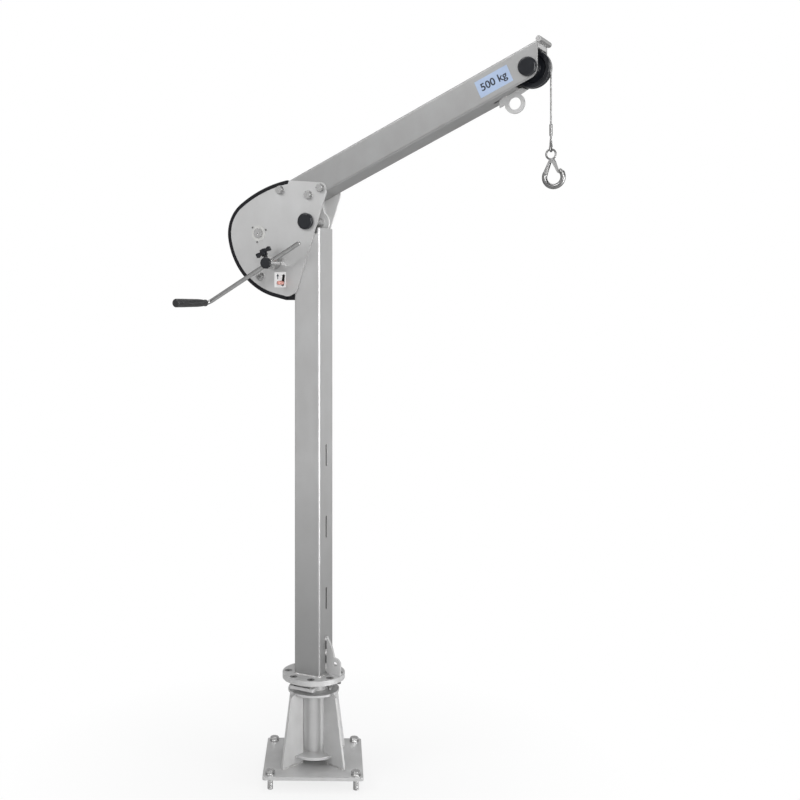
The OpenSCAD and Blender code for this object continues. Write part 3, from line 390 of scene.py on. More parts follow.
@dataclass(frozen=True)
class WireRope:
    """Drawn wire in strands, darker where grease sits between them."""

    name: str
    tone: float = 0.36
    wire_scale: float = 2400.0
    grease_scale: float = 160.0
    depth: float = 0.00004

    def build(self) -> bpy.types.Material:
        """Returns the finished material."""
        s = Shader(self.name)
        wires = s.noise(s.place(scale=(1.0, 1.0, 0.3)), self.wire_scale, 2.0)
        grease = s.ramp(s.noise(s.place(), self.grease_scale), (0.4, 0.0), (0.7, 1.0))
        s.set(
            Base_Color=s.mix(grease, grey(self.tone), grey(self.tone * 0.55, 0.004)),
            Metallic=0.9,
            Roughness=0.30 + 0.2 * grease + 0.1 * wires,
            Normal=s.bump(wires, self.depth),
        )
        return s.material


@dataclass(frozen=True)
class PrintedFilm:
    """A printed plastic film: an even tint, a faint gloss and tiny dust."""

    name: str
    colour: Colour
    roughness: float = 0.35
    tint_scale: float = 60.0
    dust_scale: float = 1500.0
    depth: float = 0.00002

    def build(self) -> bpy.types.Material:
        """Returns the finished material."""
        s = Shader(self.name)
        flat = s.place()
        tint = s.noise(flat, self.tint_scale)
        dust = s.ramp(s.noise(flat, self.dust_scale, 1.0), (0.62, 0.0), (0.72, 1.0))
        dark = tuple(c * 0.93 for c in self.colour[:3]) + (1.0,)
        colour = s.mix(s.ramp(tint, (0.3, 0.0), (0.7, 1.0)), dark, self.colour)
        s.set(
            Base_Color=s.mix(dust * 0.25, colour, grey(0.75)),
            Roughness=self.roughness + 0.1 * tint,
            Normal=s.bump(tint * 0.6 + dust * 0.4, self.depth),
        )
        return s.material


@dataclass(frozen=True)
class WeldMetal:
    """Weld bead: bright metal with a straw tint, dull patches and fine pits."""

    name: str
    tone: float = 0.56
    tint_scale: float = 220.0
    pit_scale: float = 1800.0
    depth: float = 0.00006

    def build(self) -> bpy.types.Material:
        """Returns the finished material."""
        s = Shader(self.name)
        flat = s.place()
        tint = s.ramp(s.noise(flat, self.tint_scale), (0.4, 0.0), (0.65, 1.0))
        pits = s.noise(flat, self.pit_scale, 2.0)
        s.set(
            Base_Color=s.mix(tint, grey(self.tone), grey(self.tone * 0.8, 0.012)),
            Metallic=0.9,
            Roughness=0.30 + 0.18 * tint,
            Normal=s.bump(pits, self.depth),
        )
        return s.material


class Finish(Enum):
    """The finishes of the crane, each with its builder."""

    STEEL = BlastedSteel("blasted_steel", tone=0.49, metal=0.5)
    MAST = BlastedSteel(
        "blasted_mast", tone=0.54, roughness=0.40, cloud=0.06, bore=0.0414, foot=0.8
    )
    BOOM = BlastedSteel("blasted_boom", tone=0.34, roughness=0.40, cloud=0.05)
    # Painted light: a brighter, less metallic copy of the blasted steel for the ears and far plate,
    # for light between the plates.
    EARS_LIT = BlastedSteel("blasted_ears_lit", tone=0.68, roughness=0.46, cloud=0.06, metal=0.25)
    PLATE = BlastedSteel("blasted_plate", tone=0.55, roughness=0.44, cloud=0.06)
    BRIGHT = TurnedSteel("bright_steel", tone=0.52, roughness=0.24)
    ROD = TurnedSteel("ground_rod", tone=0.44, roughness=0.05, dents=12.0, depth=0.000003)
    DARK = TurnedSteel("dark_steel", tone=0.22, roughness=0.34)
    BRONZE = TurnedSteel("bronze", tone=0.38, roughness=0.3)
    HOOK = TurnedSteel("hook_steel", tone=0.25, roughness=0.26, dents=70.0, depth=0.00001)
    BLACK = MouldedPlastic(
        "black_plastic", (0.009, 0.010, 0.013, 1.0), roughness=0.16, gloss=0.35, edge=0.004
    )
    STRIP = MouldedPlastic("black_strip", (0.006, 0.006, 0.008, 1.0), roughness=0.34, gloss=0.22)
    GRIP = MouldedPlastic("black_grip", (0.014, 0.014, 0.015, 1.0), roughness=0.36, grain=0.0001)
    BUSH = MouldedPlastic("bush_plastic", (0.46, 0.46, 0.45, 1.0), roughness=0.40)
    KNOB = MouldedPlastic("knob_red", (0.44, 0.20, 0.17, 1.0), roughness=0.34)
    LINING = MouldedPlastic("brake_lining", (0.10, 0.05, 0.03, 1.0), roughness=0.7, grain=0.0002)
    ROPE = WireRope("wire_rope")
    WELD = WeldMetal("weld_metal")
    LABEL = PrintedFilm("label_blue", (0.35, 0.44, 0.61, 1.0))
    STICKER = PrintedFilm("sticker_white", (0.80, 0.80, 0.80, 1.0))
    INK = PrintedFilm("ink_dark", (0.012, 0.018, 0.035, 1.0))


class Palette:
    """Builds each finish once and dresses nodes and pieces with it."""

    def __init__(self) -> None:
        """Starts with nothing built."""
        self.built: dict[Finish, bpy.types.Material] = {}

    def get(self, finish: Finish) -> bpy.types.Material:
        """Returns a finish's material, built on its first use."""
        if finish not in self.built:
            self.built[finish] = finish.value.build()
        return self.built[finish]

    def dress(self, piece: bpy.types.Object, finish: Finish) -> None:
        """Gives a piece one finish all over."""
        if not piece.data.materials:
            piece.data.materials.append(self.get(finish))
        for slot in piece.material_slots:
            slot.material = self.get(finish)


class Mesh:
    """A bmesh under construction, written out as an object at the origin."""

    def __init__(self, name: str, smooth_angle: float = 40.0) -> None:
        """Starts empty.

        Args:
            name: The piece's name.
            smooth_angle: Edges sharper than this, in degrees, stay sharp.
        """
        self.name = name
        self.smooth_angle = smooth_angle
        self.bm = bmesh.new()

    def sweep(
        self, path: Sequence[Point], ring: Callable[[float, int], list[Pair]],
        side: Point, closed: bool = False,
    ) -> None:
        """Sweeps a ring of points along a path.

        Args:
            path: The points of the path, in metres.
            ring: Gives the section's points from the run in metres and the step's number.
            side: A direction that the section's second axis keeps close to.
            closed: True where the path's end meets its start.
        """
        points = [Vector(p) for p in path]
        count = len(points)
        loops, run = [], 0.0
        for i, point in enumerate(points):
            ahead = points[(i + 1) % count] if closed or i < count - 1 else point
            behind = points[i - 1] if closed or i > 0 else point
            along = (ahead - behind).normalized()
            if i:
                run += (point - points[i - 1]).length
            up = (Vector(side) - along * along.dot(Vector(side))).normalized()
            across = along.cross(up)
            section = [point + across * a + up * b for a, b in ring(run, i)]
            loops.append([self.bm.verts.new(p) for p in section])
        pairs = list(zip(loops, loops[1:])) + ([(loops[-1], loops[0])] if closed else [])
        for first, second in pairs:
            for k in range(len(first)):
                n = (k + 1) % len(first)
                self.bm.faces.new((first[k], first[n], second[n], second[k]))
        if not closed:
            self.bm.faces.new(loops[0])
            self.bm.faces.new(reversed(loops[-1]))

    def revolve(self, outline: Sequence[Pair], at: Point, axis: Point, steps: int) -> None:
        """Spins an outline a full turn.

        Args:
            outline: Radius and height of each point, in metres, open or closed on the axis.
            at: Where the height starts.
            axis: The direction of the height.
            steps: Number of segments in the turn.
        """
        turn = Vector((0, 0, 1)).rotation_difference(Vector(axis).normalized())
        place = Matrix.Translation(Vector(at)) @ turn.to_matrix().to_4x4()
        verts = [self.bm.verts.new(place @ Vector((r, 0, h))) for r, h in outline]
        edges = [self.bm.edges.new(pair) for pair in zip(verts, verts[1:])]
        bmesh.ops.spin(
            self.bm, geom=verts + edges, cent=Vector(at), axis=Vector(axis),
            angle=2 * math.pi, steps=steps, use_merge=True,
        )
        bmesh.ops.remove_doubles(self.bm, verts=self.bm.verts, dist=MERGE_DISTANCE)

    def thicken(self, faces: Sequence[bmesh.types.BMFace], depth: Point) -> None:
        """Extrudes faces by a vector."""
        grown = bmesh.ops.extrude_face_region(self.bm, geom=faces)["geom"]
        moved = [g for g in grown if isinstance(g, bmesh.types.BMVert)]
        bmesh.ops.translate(self.bm, vec=Vector(depth), verts=moved)

    def plate(self, outline: Sequence[Point], depth: Point) -> None:
        """Extrudes a flat outline by a vector."""
        self.thicken([self.bm.faces.new([self.bm.verts.new(p) for p in outline])], depth)

    def write(self) -> bpy.types.Object:
        """Writes the mesh as an object, with its sharp edges marked."""
        bmesh.ops.recalc_face_normals(self.bm, faces=self.bm.faces)
        limit = math.radians(self.smooth_angle)
        for face in self.bm.faces:
            face.smooth = True
        for edge in self.bm.edges:
            edge.smooth = len(edge.link_faces) == 2 and edge.calc_face_angle() < limit
        data = bpy.data.meshes.new(self.name)
        self.bm.to_mesh(data)
        self.bm.free()
        piece = bpy.data.objects.new(self.name, data)
        bpy.context.scene.collection.objects.link(piece)
        LOG.info("%s: %d faces", self.name, len(data.polygons))
        return piece

    def finish(self, body: str, palette: Palette, finish: Finish) -> bpy.types.Object:
        """Writes the mesh, dresses it and lets it ride on a body, if one is named."""
        piece = self.write()
        palette.dress(piece, finish)
        if body:
            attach(piece, body)
        return piece


def arc(at: Pair, r: float, start: float, end: float, steps: int) -> list[Pair]:
    """Points of an arc between two angles in degrees."""
    angles = [math.radians(start + (end - start) * i / steps) for i in range(steps + 1)]
    return [(at[0] + r * math.cos(a), at[1] + r * math.sin(a)) for a in angles]


def in_metres(*values: float) -> tuple[float, ...]:
    """Turns millimetres into metres."""
    return tuple(MM * v for v in values)


def along_line(a: Point, b: Point, step: float) -> list[Point]:
    """Points from a to b, no further apart than a step."""
    count = max(2, math.ceil((Vector(b) - Vector(a)).length / step))
    return [tuple(Vector(a).lerp(Vector(b), i / count)) for i in range(count + 1)]


@dataclass(frozen=True)
class Layout:
    """Real sizes and places of the crane, in millimetres and degrees, from the construction."""

    base_thick: float = 10.0
    base_turn: float = 28.0
    rib_thick: float = 8.0
    rib_foot: float = 136.0
    spindle_r: float = 31.75
    flange_z: float = 264.0
    mast_z: float = 280.0
    mast_half: float = 45.0
    mast_corner: float = 6.0
    pivot_z: float = 1693.0
    boom_tilt: float = 23.7
    boom_lift: float = 55.5
    plate_out: float = 50.0
    drum_at: Pair = (-173.0, -32.0)
    sheave_at: Pair = (710.0, 409.084)
    sheave_rope_r: float = 52.8
    drum_rope_r: float = 38.7
    rope_r: float = 2.5
    drop_len: float = 159.0

    def rib_axes(self, number: int) -> tuple[Vector, Vector]:
        """The outward and the sideways direction of one of the pedestal's four ribs."""
        a = math.radians(self.base_turn + 45 + 90 * number)
        return Vector((math.cos(a), math.sin(a), 0)), Vector((-math.sin(a), math.cos(a), 0))

    def boom(self, x: float, y: float, lift: float) -> Point:
        """A point given along and above the boom's lower line, in metres."""
        a = math.radians(self.boom_tilt)
        return (MM * (x * math.cos(a) - lift * math.sin(a)), MM * y,
                MM * (self.pivot_z + x * math.sin(a) + lift * math.cos(a)))


LAYOUT = Layout()


@dataclass
class Rope:
    """The stranded wire rope over the sheave and down to the ferrule.

    Attributes:
        lay: Length of one turn of a strand in millimetres.
        depth: Depth of the valleys between strands, as a share of the rope's radius.
        step: Spacing of the sections along the hanging part in millimetres.
        wrap_end: Angle in degrees at which the rope leaves the sheave.
    """

    strands: int = 6
    lay: float = 32.0
    depth: float = 0.13
    points: int = 36
    step: float = 1.0
    run_steps: int = 400
    wrap_steps: int = 100
    wrap_end: float = 0.5

    def _ring(self, run: float, _step: int) -> list[Pair]:
        """The rope's section, turned with its lay."""
        twist = 2 * math.pi * run / (self.lay * MM)
        result = []
        for k in range(self.points):
            a = 2 * math.pi * k / self.points
            valley = 1 - abs(math.cos(self.strands * (a - twist) / 2))
            r = MM * LAYOUT.rope_r * (1 - self.depth * valley)
            result.append((r * math.cos(a), r * math.sin(a)))
        return result

    def build_drop(self, palette: Palette) -> None:
        """The free part, which stretches from the sheave to the ferrule."""
        x = MM * (LAYOUT.sheave_at[0] + LAYOUT.sheave_rope_r)
        top = MM * (LAYOUT.pivot_z + LAYOUT.sheave_at[1])
        path = along_line((x, 0, top), (x, 0, top - MM * LAYOUT.drop_len), MM * self.step)
        mesh = Mesh("rope_hanging", 60)
        mesh.sweep(path, self._ring, (0, 1, 0))
        piece = mesh.finish("", palette, Finish.ROPE)
        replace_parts(piece, "rope_drop")
        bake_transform(piece)

    def build_run(self, palette: Palette) -> None:
        """The part from the winding to the sheave and round it."""
        span = Vector(LAYOUT.sheave_at) - Vector(LAYOUT.drum_at)
        lean = math.asin((LAYOUT.sheave_rope_r - LAYOUT.drum_rope_r) / span.length)
        slope = math.degrees(math.atan2(span.y, span.x) + lean)
        normal = Vector((-math.sin(math.radians(slope)), math.cos(math.radians(slope))))
        start = Vector(LAYOUT.drum_at) + LAYOUT.drum_rope_r * normal
        end = Vector(LAYOUT.sheave_at) + LAYOUT.sheave_rope_r * normal
        flat = [tuple(start.lerp(end, i / self.run_steps)) for i in range(self.run_steps)]
        flat += arc(
            LAYOUT.sheave_at, LAYOUT.sheave_rope_r, 90 + slope, self.wrap_end, self.wrap_steps
        )
        path = [(MM * x, 0.0, MM * (LAYOUT.pivot_z + z)) for x, z in flat]
        mesh = Mesh("rope_over_sheave", 60)
        mesh.sweep(path, self._ring, (0, 1, 0))
        piece = mesh.finish("mast", palette, Finish.ROPE)
        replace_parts(piece, "rope_run")


@dataclass
class Pedestal:
    """The pedestal's two wide discs, and its four ribs that stand clear of the spindle.

    Attributes:
        low_disc: Heights of the lower disc's faces in millimetres, as every size here.
        top_disc: Heights of the top disc's faces.
        edge: Width of the discs' eased edges.
        rib_inner: Distance from the axis to the ribs' inner edges.
        rib_shoulder: Radius and height of a rib's outer shoulder.
        rib_crest: Radius and height of a rib's crest.
        heel: Radii of the first contact of a rib's foot with the base.
        arch: Radius where the arch in the foot starts, and its height.
        toe: Lengths of the foot's outer contact, at the arch and at the base.
    """

    disc_r: float = 80.0
    bore_r: float = 36.5
    low_disc: Pair = (30.0, 39.0)
    top_disc: Pair = (222.0, 229.6)
    edge: float = 0.8
    steps: int = 96
    rib_inner: float = 49.0
    rib_shoulder: Pair = (99.5, 219.0)
    rib_crest: Pair = (81.0, 230.5)
    heel: Pair = (50.0, 70.0)
    arch: Pair = (72.0, 3.0)
    toe: Pair = (28.0, 26.0)

    def build_discs(self, palette: Palette) -> None:
        """Both discs, with their edges eased."""
        mesh = Mesh("pedestal_discs")
        for low, high in (self.low_disc, self.top_disc):
            outline = (
                (self.bore_r, low), (self.disc_r - self.edge, low), (self.disc_r, low + self.edge),
                (self.disc_r, high - self.edge), (self.disc_r - self.edge, high),
                (self.bore_r, high), (self.bore_r, low),
            )
            mesh.revolve([in_metres(*p) for p in outline], (0, 0, 0), (0, 0, 1), self.steps)
        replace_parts(mesh.finish("pedestal", palette, Finish.STEEL), "bearing_rings")

    def build_ribs(self, palette: Palette) -> None:
        """Four ribs with arched feet, notched for the lower disc."""
        mesh = Mesh("pedestal_rib_plates")
        (low, low_top), (top, _) = self.low_disc, self.top_disc
        floor, foot, notch = LAYOUT.base_thick, LAYOUT.rib_foot, self.rib_crest[0]
        roof = floor + self.arch[1]
        outline = [
            (foot, floor), self.rib_shoulder, self.rib_crest, (notch, top), (self.rib_inner, top),
            (self.rib_inner, low_top), (notch, low_top), (notch, low), (self.heel[0], low),
            (self.heel[0], floor), (self.heel[1], floor), (self.arch[0], roof),
            (foot - self.toe[0], roof), (foot - self.toe[1], floor),
        ]
        for k in range(4):
            out, side = LAYOUT.rib_axes(k)
            near = side * -LAYOUT.rib_thick / 2
            points = [MM * (out * r + Vector((0, 0, z)) + near) for r, z in outline]
            mesh.plate([tuple(p) for p in points], tuple(side * LAYOUT.rib_thick * MM))
        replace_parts(mesh.finish("pedestal", palette, Finish.STEEL), "pedestal_ribs")

    def build(self, palette: Palette) -> None:
        """Builds discs and ribs."""
        self.build_discs(palette)
        self.build_ribs(palette)


@dataclass
class Welds:
    """Weld beads: rippled fillets and stitches along the joints of the steelwork.

    Attributes:
        ripple: Length of a ripple in millimetres, as every size here.
        rib_feet: Radii between which a rib's foot is welded to the base.
        rib_top: Radii between which a rib is welded under the top disc, and the height.
        rib_notch: Heights between which a rib is welded to the lower disc, and the radius.
        lug_face: Distance of the beads at a lug's face from its middle.
        lug_stitches: Heights of the stitches along the parking lug.
        lug_seam_shadows: Heights of the open seams between them, shown by strips of painted shadow.
        seam: Distances of a seam's edges from the mast's face.
        seam_shadow_thick: Thickness of the dark strip, a painted shadow, that shows a seam.
        eye_stitches: Places along the boom of the stitches at the eye bracket.
        ear_face: Distance of the ears' beads from the boom's middle.
        ear_stitches: Places along the boom of the stitches at the ears.
    """

    ripple: float = 1.7
    step: float = 0.5
    sides: int = 12
    rib_feet: tuple[Pair, ...] = ((112, 134), (72, 106), (52, 68))
    rib_top: Point = (66, 79, 222)
    rib_notch: Point = (30.5, 38.5, 80.5)
    lug_face: float = 4.0
    lug_stitches: tuple[Pair, ...] = ((384, 394), (340, 356), (296, 312))
    lug_seam_shadows: tuple[Pair, ...] = ((314, 338), (358, 382))
    seam: Pair = (0.1, 2.8)
    seam_shadow_thick: float = 0.15
    eye_stitches: tuple[Pair, ...] = ((698, 718), (742, 762))
    ear_face: float = 44.5
    ear_stitches: tuple[Pair, ...] = ((-6, 8), (16, 30))

    def bead(
        self, mesh: Mesh, path: Sequence[Point], width: float, side: Point, closed: bool = False
    ) -> None:
        """Adds one bead.

        Args:
            mesh: The mesh that takes the bead.
            path: The joint's line in metres, dense enough for the ripples.
            width: The bead's width in millimetres.
            side: A direction across the bead.
            closed: True for a bead all the way round.
        """
        last = len(path) - 1
        turns = [2 * math.pi * k / self.sides for k in range(self.sides)]

        def ring(run: float, step: int) -> list[Pair]:
            """A round section with ripples, thinner at the bead's ends."""
            phase = run / (self.ripple * MM)
            wave = 1 + 0.07 * abs(math.sin(math.pi * phase)) + 0.04 * math.sin(phase * 0.71)
            ends = 1.0 if closed else min(1.0, 0.35 + 0.2 * min(step, last - step))
            r = MM * width / 2 * wave * ends
            return [(r * math.cos(a), r * math.sin(a)) for a in turns]

        mesh.sweep(path, ring, side, closed)

    def stitch(self, mesh: Mesh, ends: tuple[Point, Point], width: float, side: Point) -> None:
        """Adds a straight bead between two points in metres."""
        self.bead(mesh, along_line(*ends, self.step * MM), width, side)

    def circle(self, r: float, z: float) -> list[Point]:
        """A ring of points round the mast's axis, without its last point."""
        count = math.ceil(2 * math.pi * r / self.step)
        return [in_metres(x, y, z) for x, y in arc((0, 0), r, 0, 360, count)[:-1]]

    def square(self, half: float, corner: float, z: float) -> list[Point]:
        """A square ring with round corners, without its last point."""
        flat: list[Pair] = []
        inner = half - corner
        corners = ((inner, inner), (-inner, inner), (-inner, -inner), (inner, -inner))
        for k, centre in enumerate(corners):
            flat += arc(centre, corner, 90 * k, 90 * k + 90, 20)
        dense: list[Point] = []
        for a, b in zip(flat, flat[1:] + flat[:1]):
            dense += along_line((*a, 0), (*b, 0), self.step)[:-1]
        return [in_metres(x, y, z) for x, y, _ in dense]

    def build_pedestal(self, palette: Palette) -> None:
        """Beads at the feet and shoulders of the ribs."""
        mesh = Mesh("pedestal_welds", 60)
        floor = LAYOUT.base_thick
        inner, outer, top = self.rib_top
        low, high, notch = self.rib_notch
        for k in range(4):
            out, side = LAYOUT.rib_axes(k)
            for face in (-1, 1):
                def at(r: float, z: float) -> Point:
                    """A point on this rib's face."""
                    p = out * r + side * face * LAYOUT.rib_thick / 2
                    return in_metres(p.x, p.y, z)
                for start, end in self.rib_feet:
                    self.stitch(mesh, (at(start, floor), at(end, floor)), 5.0, (0, 0, 1))
                self.stitch(mesh, (at(inner, top), at(outer, top)), 4.5, (0, 0, 1))
                self.stitch(mesh, (at(notch, low), at(notch, high)), 4.5, tuple(out))
        mesh.finish("pedestal", palette, Finish.WELD)

    def build_mast(self, palette: Palette) -> None:
        """Beads round the mast's foot, under the flange and along the parking lug."""
        mesh = Mesh("mast_welds", 60)
        foot = self.square(LAYOUT.mast_half, LAYOUT.mast_corner, LAYOUT.mast_z)
        self.bead(mesh, foot, 6.0, (0, 0, 1), True)
        self.bead(mesh, self.circle(LAYOUT.spindle_r, LAYOUT.flange_z), 5.0, (0, 0, 1), True)
        x = LAYOUT.mast_half
        for y in (-self.lug_face, self.lug_face):
            for low, high in self.lug_stitches:
                self.stitch(mesh, (in_metres(x, y, low), in_metres(x, y, high)), 4.5, (1, 0, 0))
        mesh.finish("mast", palette, Finish.WELD)

    def build_seam_shadows(self, palette: Palette) -> None:
        """Dark strips on both faces of the parking lug, painted shadow in the open seams between
        its welds.
        """
        mesh = Mesh("lug_seam_shadows")
        # Painted shadow: thin black sheets stand where the open seams are in shade.
        x0, x1 = (LAYOUT.mast_half + reach for reach in self.seam)
        for y in (-self.lug_face - 0.1, self.lug_face + 0.1):
            depth = (0, MM * math.copysign(self.seam_shadow_thick, -y), 0)
            for low, high in self.lug_seam_shadows:
                outline = [(x0, y, low), (x1, y, low), (x1, y, high), (x0, y, high)]
                mesh.plate([in_metres(*p) for p in outline], depth)
        mesh.finish("mast", palette, Finish.STRIP)

    def build_boom(self, palette: Palette) -> None:
        """Beads at the eye bracket and the ears."""
        mesh = Mesh("boom_welds", 60)
        lift = LAYOUT.boom_lift
        rows = ((self.lug_face, self.eye_stitches, 4.5), (self.ear_face, self.ear_stitches, 4.0))
        for face, stitches, width in rows:
            for y in (-face, face):
                for start, end in stitches:
                    ends = (LAYOUT.boom(start, y, lift), LAYOUT.boom(end, y, lift))
                    self.stitch(mesh, ends, width, (0, 1, 0))
        mesh.finish("mast", palette, Finish.WELD)


@dataclass(frozen=True)
class BoltRow:
    """Equal bolts on a circle, in millimetres and degrees.

    Attributes:
        r: A bolt's radius.
        circle: Radius of the circle that the bolts stand on.
        first: Angle of the first bolt.
        z: Height where the threads start.
    """

    r: float
    pitch: float
    circle: float
    first: float
    count: int
    z: float
    length: float


@dataclass
class Fasteners:
    """Thread crests on the bolts' free ends, in millimetres."""

    crest: float = 0.12
    flank: float = 0.05
    root: float = 0.4
    steps: int = 40
    anchors: BoltRow = BoltRow(
        8.0, 2.0, 130.0 * math.sqrt(2), LAYOUT.base_turn + 45, 4, -33.5, 33.0
    )
    flange: BoltRow = BoltRow(6.0, 1.75, 80.0, 22.5, 8, 244.3, 8.5)

    def outline(self, row: BoltRow) -> list[Pair]:
        """Radius and height in metres of each point along a row's threads."""
        points = [(row.r - self.root, 0.0)]
        for k in range(int(row.length / row.pitch)):
            points += [
                (row.r - self.flank, (k + 0.25) * row.pitch),
                (row.r + self.crest, (k + 0.5) * row.pitch),
                (row.r - self.flank, (k + 0.75) * row.pitch),
            ]
        points.append((row.r - self.root, row.length))
        return [in_metres(*p) for p in points]

    def threads(self, name: str, row: BoltRow) -> Mesh:
        """The threads of a row of bolts, in one mesh."""
        mesh = Mesh(name, 20)
        for k in range(row.count):
            a = math.radians(row.first + 360 / row.count * k)
            at = in_metres(row.circle * math.cos(a), row.circle * math.sin(a), row.z)
            mesh.revolve(self.outline(row), at, (0, 0, 1), self.steps)
        return mesh

    def build(self, palette: Palette) -> None:
        """Threads under the base and under the flange."""
        self.threads("anchor_threads", self.anchors).finish("pedestal", palette, Finish.BRIGHT)
        self.threads("flange_threads", self.flange).finish("mast", palette, Finish.DARK)


@dataclass
class Labels:
    """The load label on the boom and the sticker by the brake lever, in millimetres."""

    label_s: float = 709.9
    label_drop: float = 0.9
    text_size: float = 31.0
    text_bold: float = 0.7
    text_depth: float = 0.05
    text_out: float = 0.42
    sticker: tuple[float, float, float, float] = (-114.0, -205.0, 42.0, 48.0)
    sticker_depth: float = 0.15
    slot: tuple[Pair, Pair] = ((-84.2, -196.6), (-80.8, -169.4))
    slot_r: float = 5.4
    mark_depth: float = 0.06

    def build_capacity(self, palette: Palette) -> None:
        """The load in plain numerals on the bare label."""
        curve = bpy.data.curves.new("load_text", "FONT")
        curve.body = "500 kg"
        curve.size, curve.offset, curve.extrude = in_metres(
            self.text_size, self.text_bold, self.text_depth
        )
        curve.align_x = curve.align_y = "CENTER"
        text = bpy.data.objects.new("load_text_source", curve)
        bpy.context.scene.collection.objects.link(text)
        data = bpy.data.meshes.new_from_object(text)
        bpy.data.objects.remove(text)
        lift = LAYOUT.boom_lift + LAYOUT.mast_half - self.label_drop
        centre = LAYOUT.boom(self.label_s, -LAYOUT.mast_half - self.text_out, lift)
        tilt = Matrix.Rotation(-math.radians(LAYOUT.boom_tilt), 4, "Y")
        upright = Matrix.Rotation(math.pi / 2, 4, "X")
        data.transform(Matrix.Translation(centre) @ tilt @ upright)
        data.name = "load_text"
        piece = bpy.data.objects.new("load_text", data)
        bpy.context.scene.collection.objects.link(piece)
        palette.dress(piece, Finish.INK)
        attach(piece, "mast")
        LOG.info("load_text: %d faces", len(data.polygons))

    def on_plate(self, points: Sequence[Pair], lift: float = 0.0) -> list[Point]:
        """Points on the near plate's face, from the pivot's X and Z in millimetres."""
        y = -(LAYOUT.plate_out + 0.02) - lift
        return [in_metres(x, y, LAYOUT.pivot_z + z) for x, z in points]

    def slot_outline(self) -> list[Pair]:
        """The outline of the lever's slot."""
        low, high = self.slot
        lean = math.degrees(math.atan2(high[0] - low[0], high[1] - low[1]))
        upper = arc(high, self.slot_r, -lean, 180 - lean, 16)
        return upper + arc(low, self.slot_r, 180 - lean, 360 - lean, 16)

    def build_sticker(self, palette: Palette) -> None:
        """A white sticker with a generic arrow on the near plate."""
        x0, z0, w, h = self.sticker
        mesh = Mesh("lever_sticker")
        edges = []
        for loop in ([(x0, z0), (x0 + w, z0), (x0 + w, z0 + h), (x0, z0 + h)], self.slot_outline()):
            verts = [mesh.bm.verts.new(p) for p in self.on_plate(loop)]
            edges += [mesh.bm.edges.new((a, b)) for a, b in zip(verts, verts[1:] + verts[:1])]
        bmesh.ops.triangle_fill(mesh.bm, edges=edges, use_beauty=True)
        mesh.thicken(mesh.bm.faces[:], (0, -self.sticker_depth * MM, 0))
        mesh.finish("mast", palette, Finish.STICKER)
        mesh = Mesh("lever_mark")
        x, tip, neck, tail = x0 + 12, z0 + h - 5, z0 + h - 13, z0 + h - 22
        stem, barb = 1.4, 5
        arrow = [
            (x - stem, tail), (x + stem, tail), (x + stem, neck), (x + barb, neck), (x, tip),
            (x - barb, neck), (x - stem, neck),
        ]
        mesh.plate(self.on_plate(arrow, self.sticker_depth), (0, -self.mark_depth * MM, 0))
        mesh.finish("mast", palette, Finish.INK)


@dataclass
class GripRibs:
    """Fine raised rings round the crank's grip, in millimetres and degrees."""

    start: float = 22.0
    pitch: float = 5.5
    count: int = 24
    raise_by: float = 0.5
    sink: float = 0.5
    widest: float = 13.48
    half_crest: float = 0.5
    half_foot: float = 1.1
    half_base: float = 1.4
    steps: int = 48
    at: Pair = (-109.65, -129.5)
    turn: float = 28.8
    reach: float = 259.0
    grip_start: float = -108.0
    profile: tuple[Pair, ...] = (
        (6.0, 10.0), (45.0, 12.0), (99.0, 12.5), (153.0, 13.5), (160.0, 13.5)
    )

    def radius(self, run: float) -> float:
        """The grip's radius at a distance from its start, in millimetres."""
        for (a, ra), (b, rb) in zip(self.profile, self.profile[1:]):
            if run <= b:
                return ra + (rb - ra) * (run - a) / (b - a)
        return self.profile[-1][1]

    def build(self, palette: Palette) -> None:
        """Builds all rings in one piece."""
        mesh = Mesh("grip_ribs", 60)
        a = math.radians(self.turn)
        x = self.at[0] - self.reach * math.cos(a)
        z = LAYOUT.pivot_z + self.at[1] - self.reach * math.sin(a)
        for k in range(self.count):
            run = self.start + k * self.pitch
            r = self.radius(run)
            crest = min(r + self.raise_by, self.widest)
            foot, base = min(r + 0.1, crest), r - self.sink
            outline = [
                (base, -self.half_base), (foot, -self.half_foot), (crest, -self.half_crest),
                (crest, self.half_crest), (foot, self.half_foot), (base, self.half_base),
            ]
            at = in_metres(x, self.grip_start - run, z)
            mesh.revolve([in_metres(*p) for p in outline], at, (0, -1, 0), self.steps)
        mesh.finish("grip", palette, Finish.GRIP)


NODE_FINISH: dict[Finish, tuple[str, ...]] = {
    Finish.STEEL: (
        "base_plate", "pedestal_ribs", "bearing_rings", "lower_flange", "mast_flange", "lock_bar",
        "parking_lug", "tip_web", "eye_bracket", "spindle_tube",
    ),
    Finish.MAST: ("mast_tube",),
    Finish.BOOM: ("boom_tube",),
    Finish.PLATE: ("side_plate_near",),
    Finish.EARS_LIT: ("boom_ears", "side_plate_far"),
    Finish.BRIGHT: (
        "anchor_bolts", "anchor_washers", "head_bolts", "head_nuts", "head_washers",
        "spacer_tubes", "pivot_pin", "drum_shaft", "sheave_axle", "cross_rod", "pawl_pin",
        "latch_pin", "hook_latch", "drum", "gear_wheel", "pinion", "brake_hub", "crank_shaft",
        "retaining_ring", "pawl_lever",
    ),
    Finish.ROD: ("crank_rod", "crank_hub"),
    Finish.DARK: ("flange_bolts", "flange_nuts", "bearing_screws", "ratchet_wheel"),
    Finish.BLACK: ("end_caps", "sheave", "hub_cap", "wing_screw"),
    Finish.STRIP: ("cover_strip",),
    Finish.GRIP: ("crank_grip",),
    Finish.BUSH: ("spindle_bushes", "drum_bearings"),
    Finish.BRONZE: ("crank_bushes", "sheave_bush"),
    Finish.LINING: ("brake_discs",),
    Finish.ROPE: ("rope_run", "rope_winding", "rope_drop"),
    Finish.HOOK: ("hook", "rope_ferrule", "rope_thimble"),
    Finish.KNOB: ("lever_knob",),
    Finish.LABEL: ("capacity_label",),
}


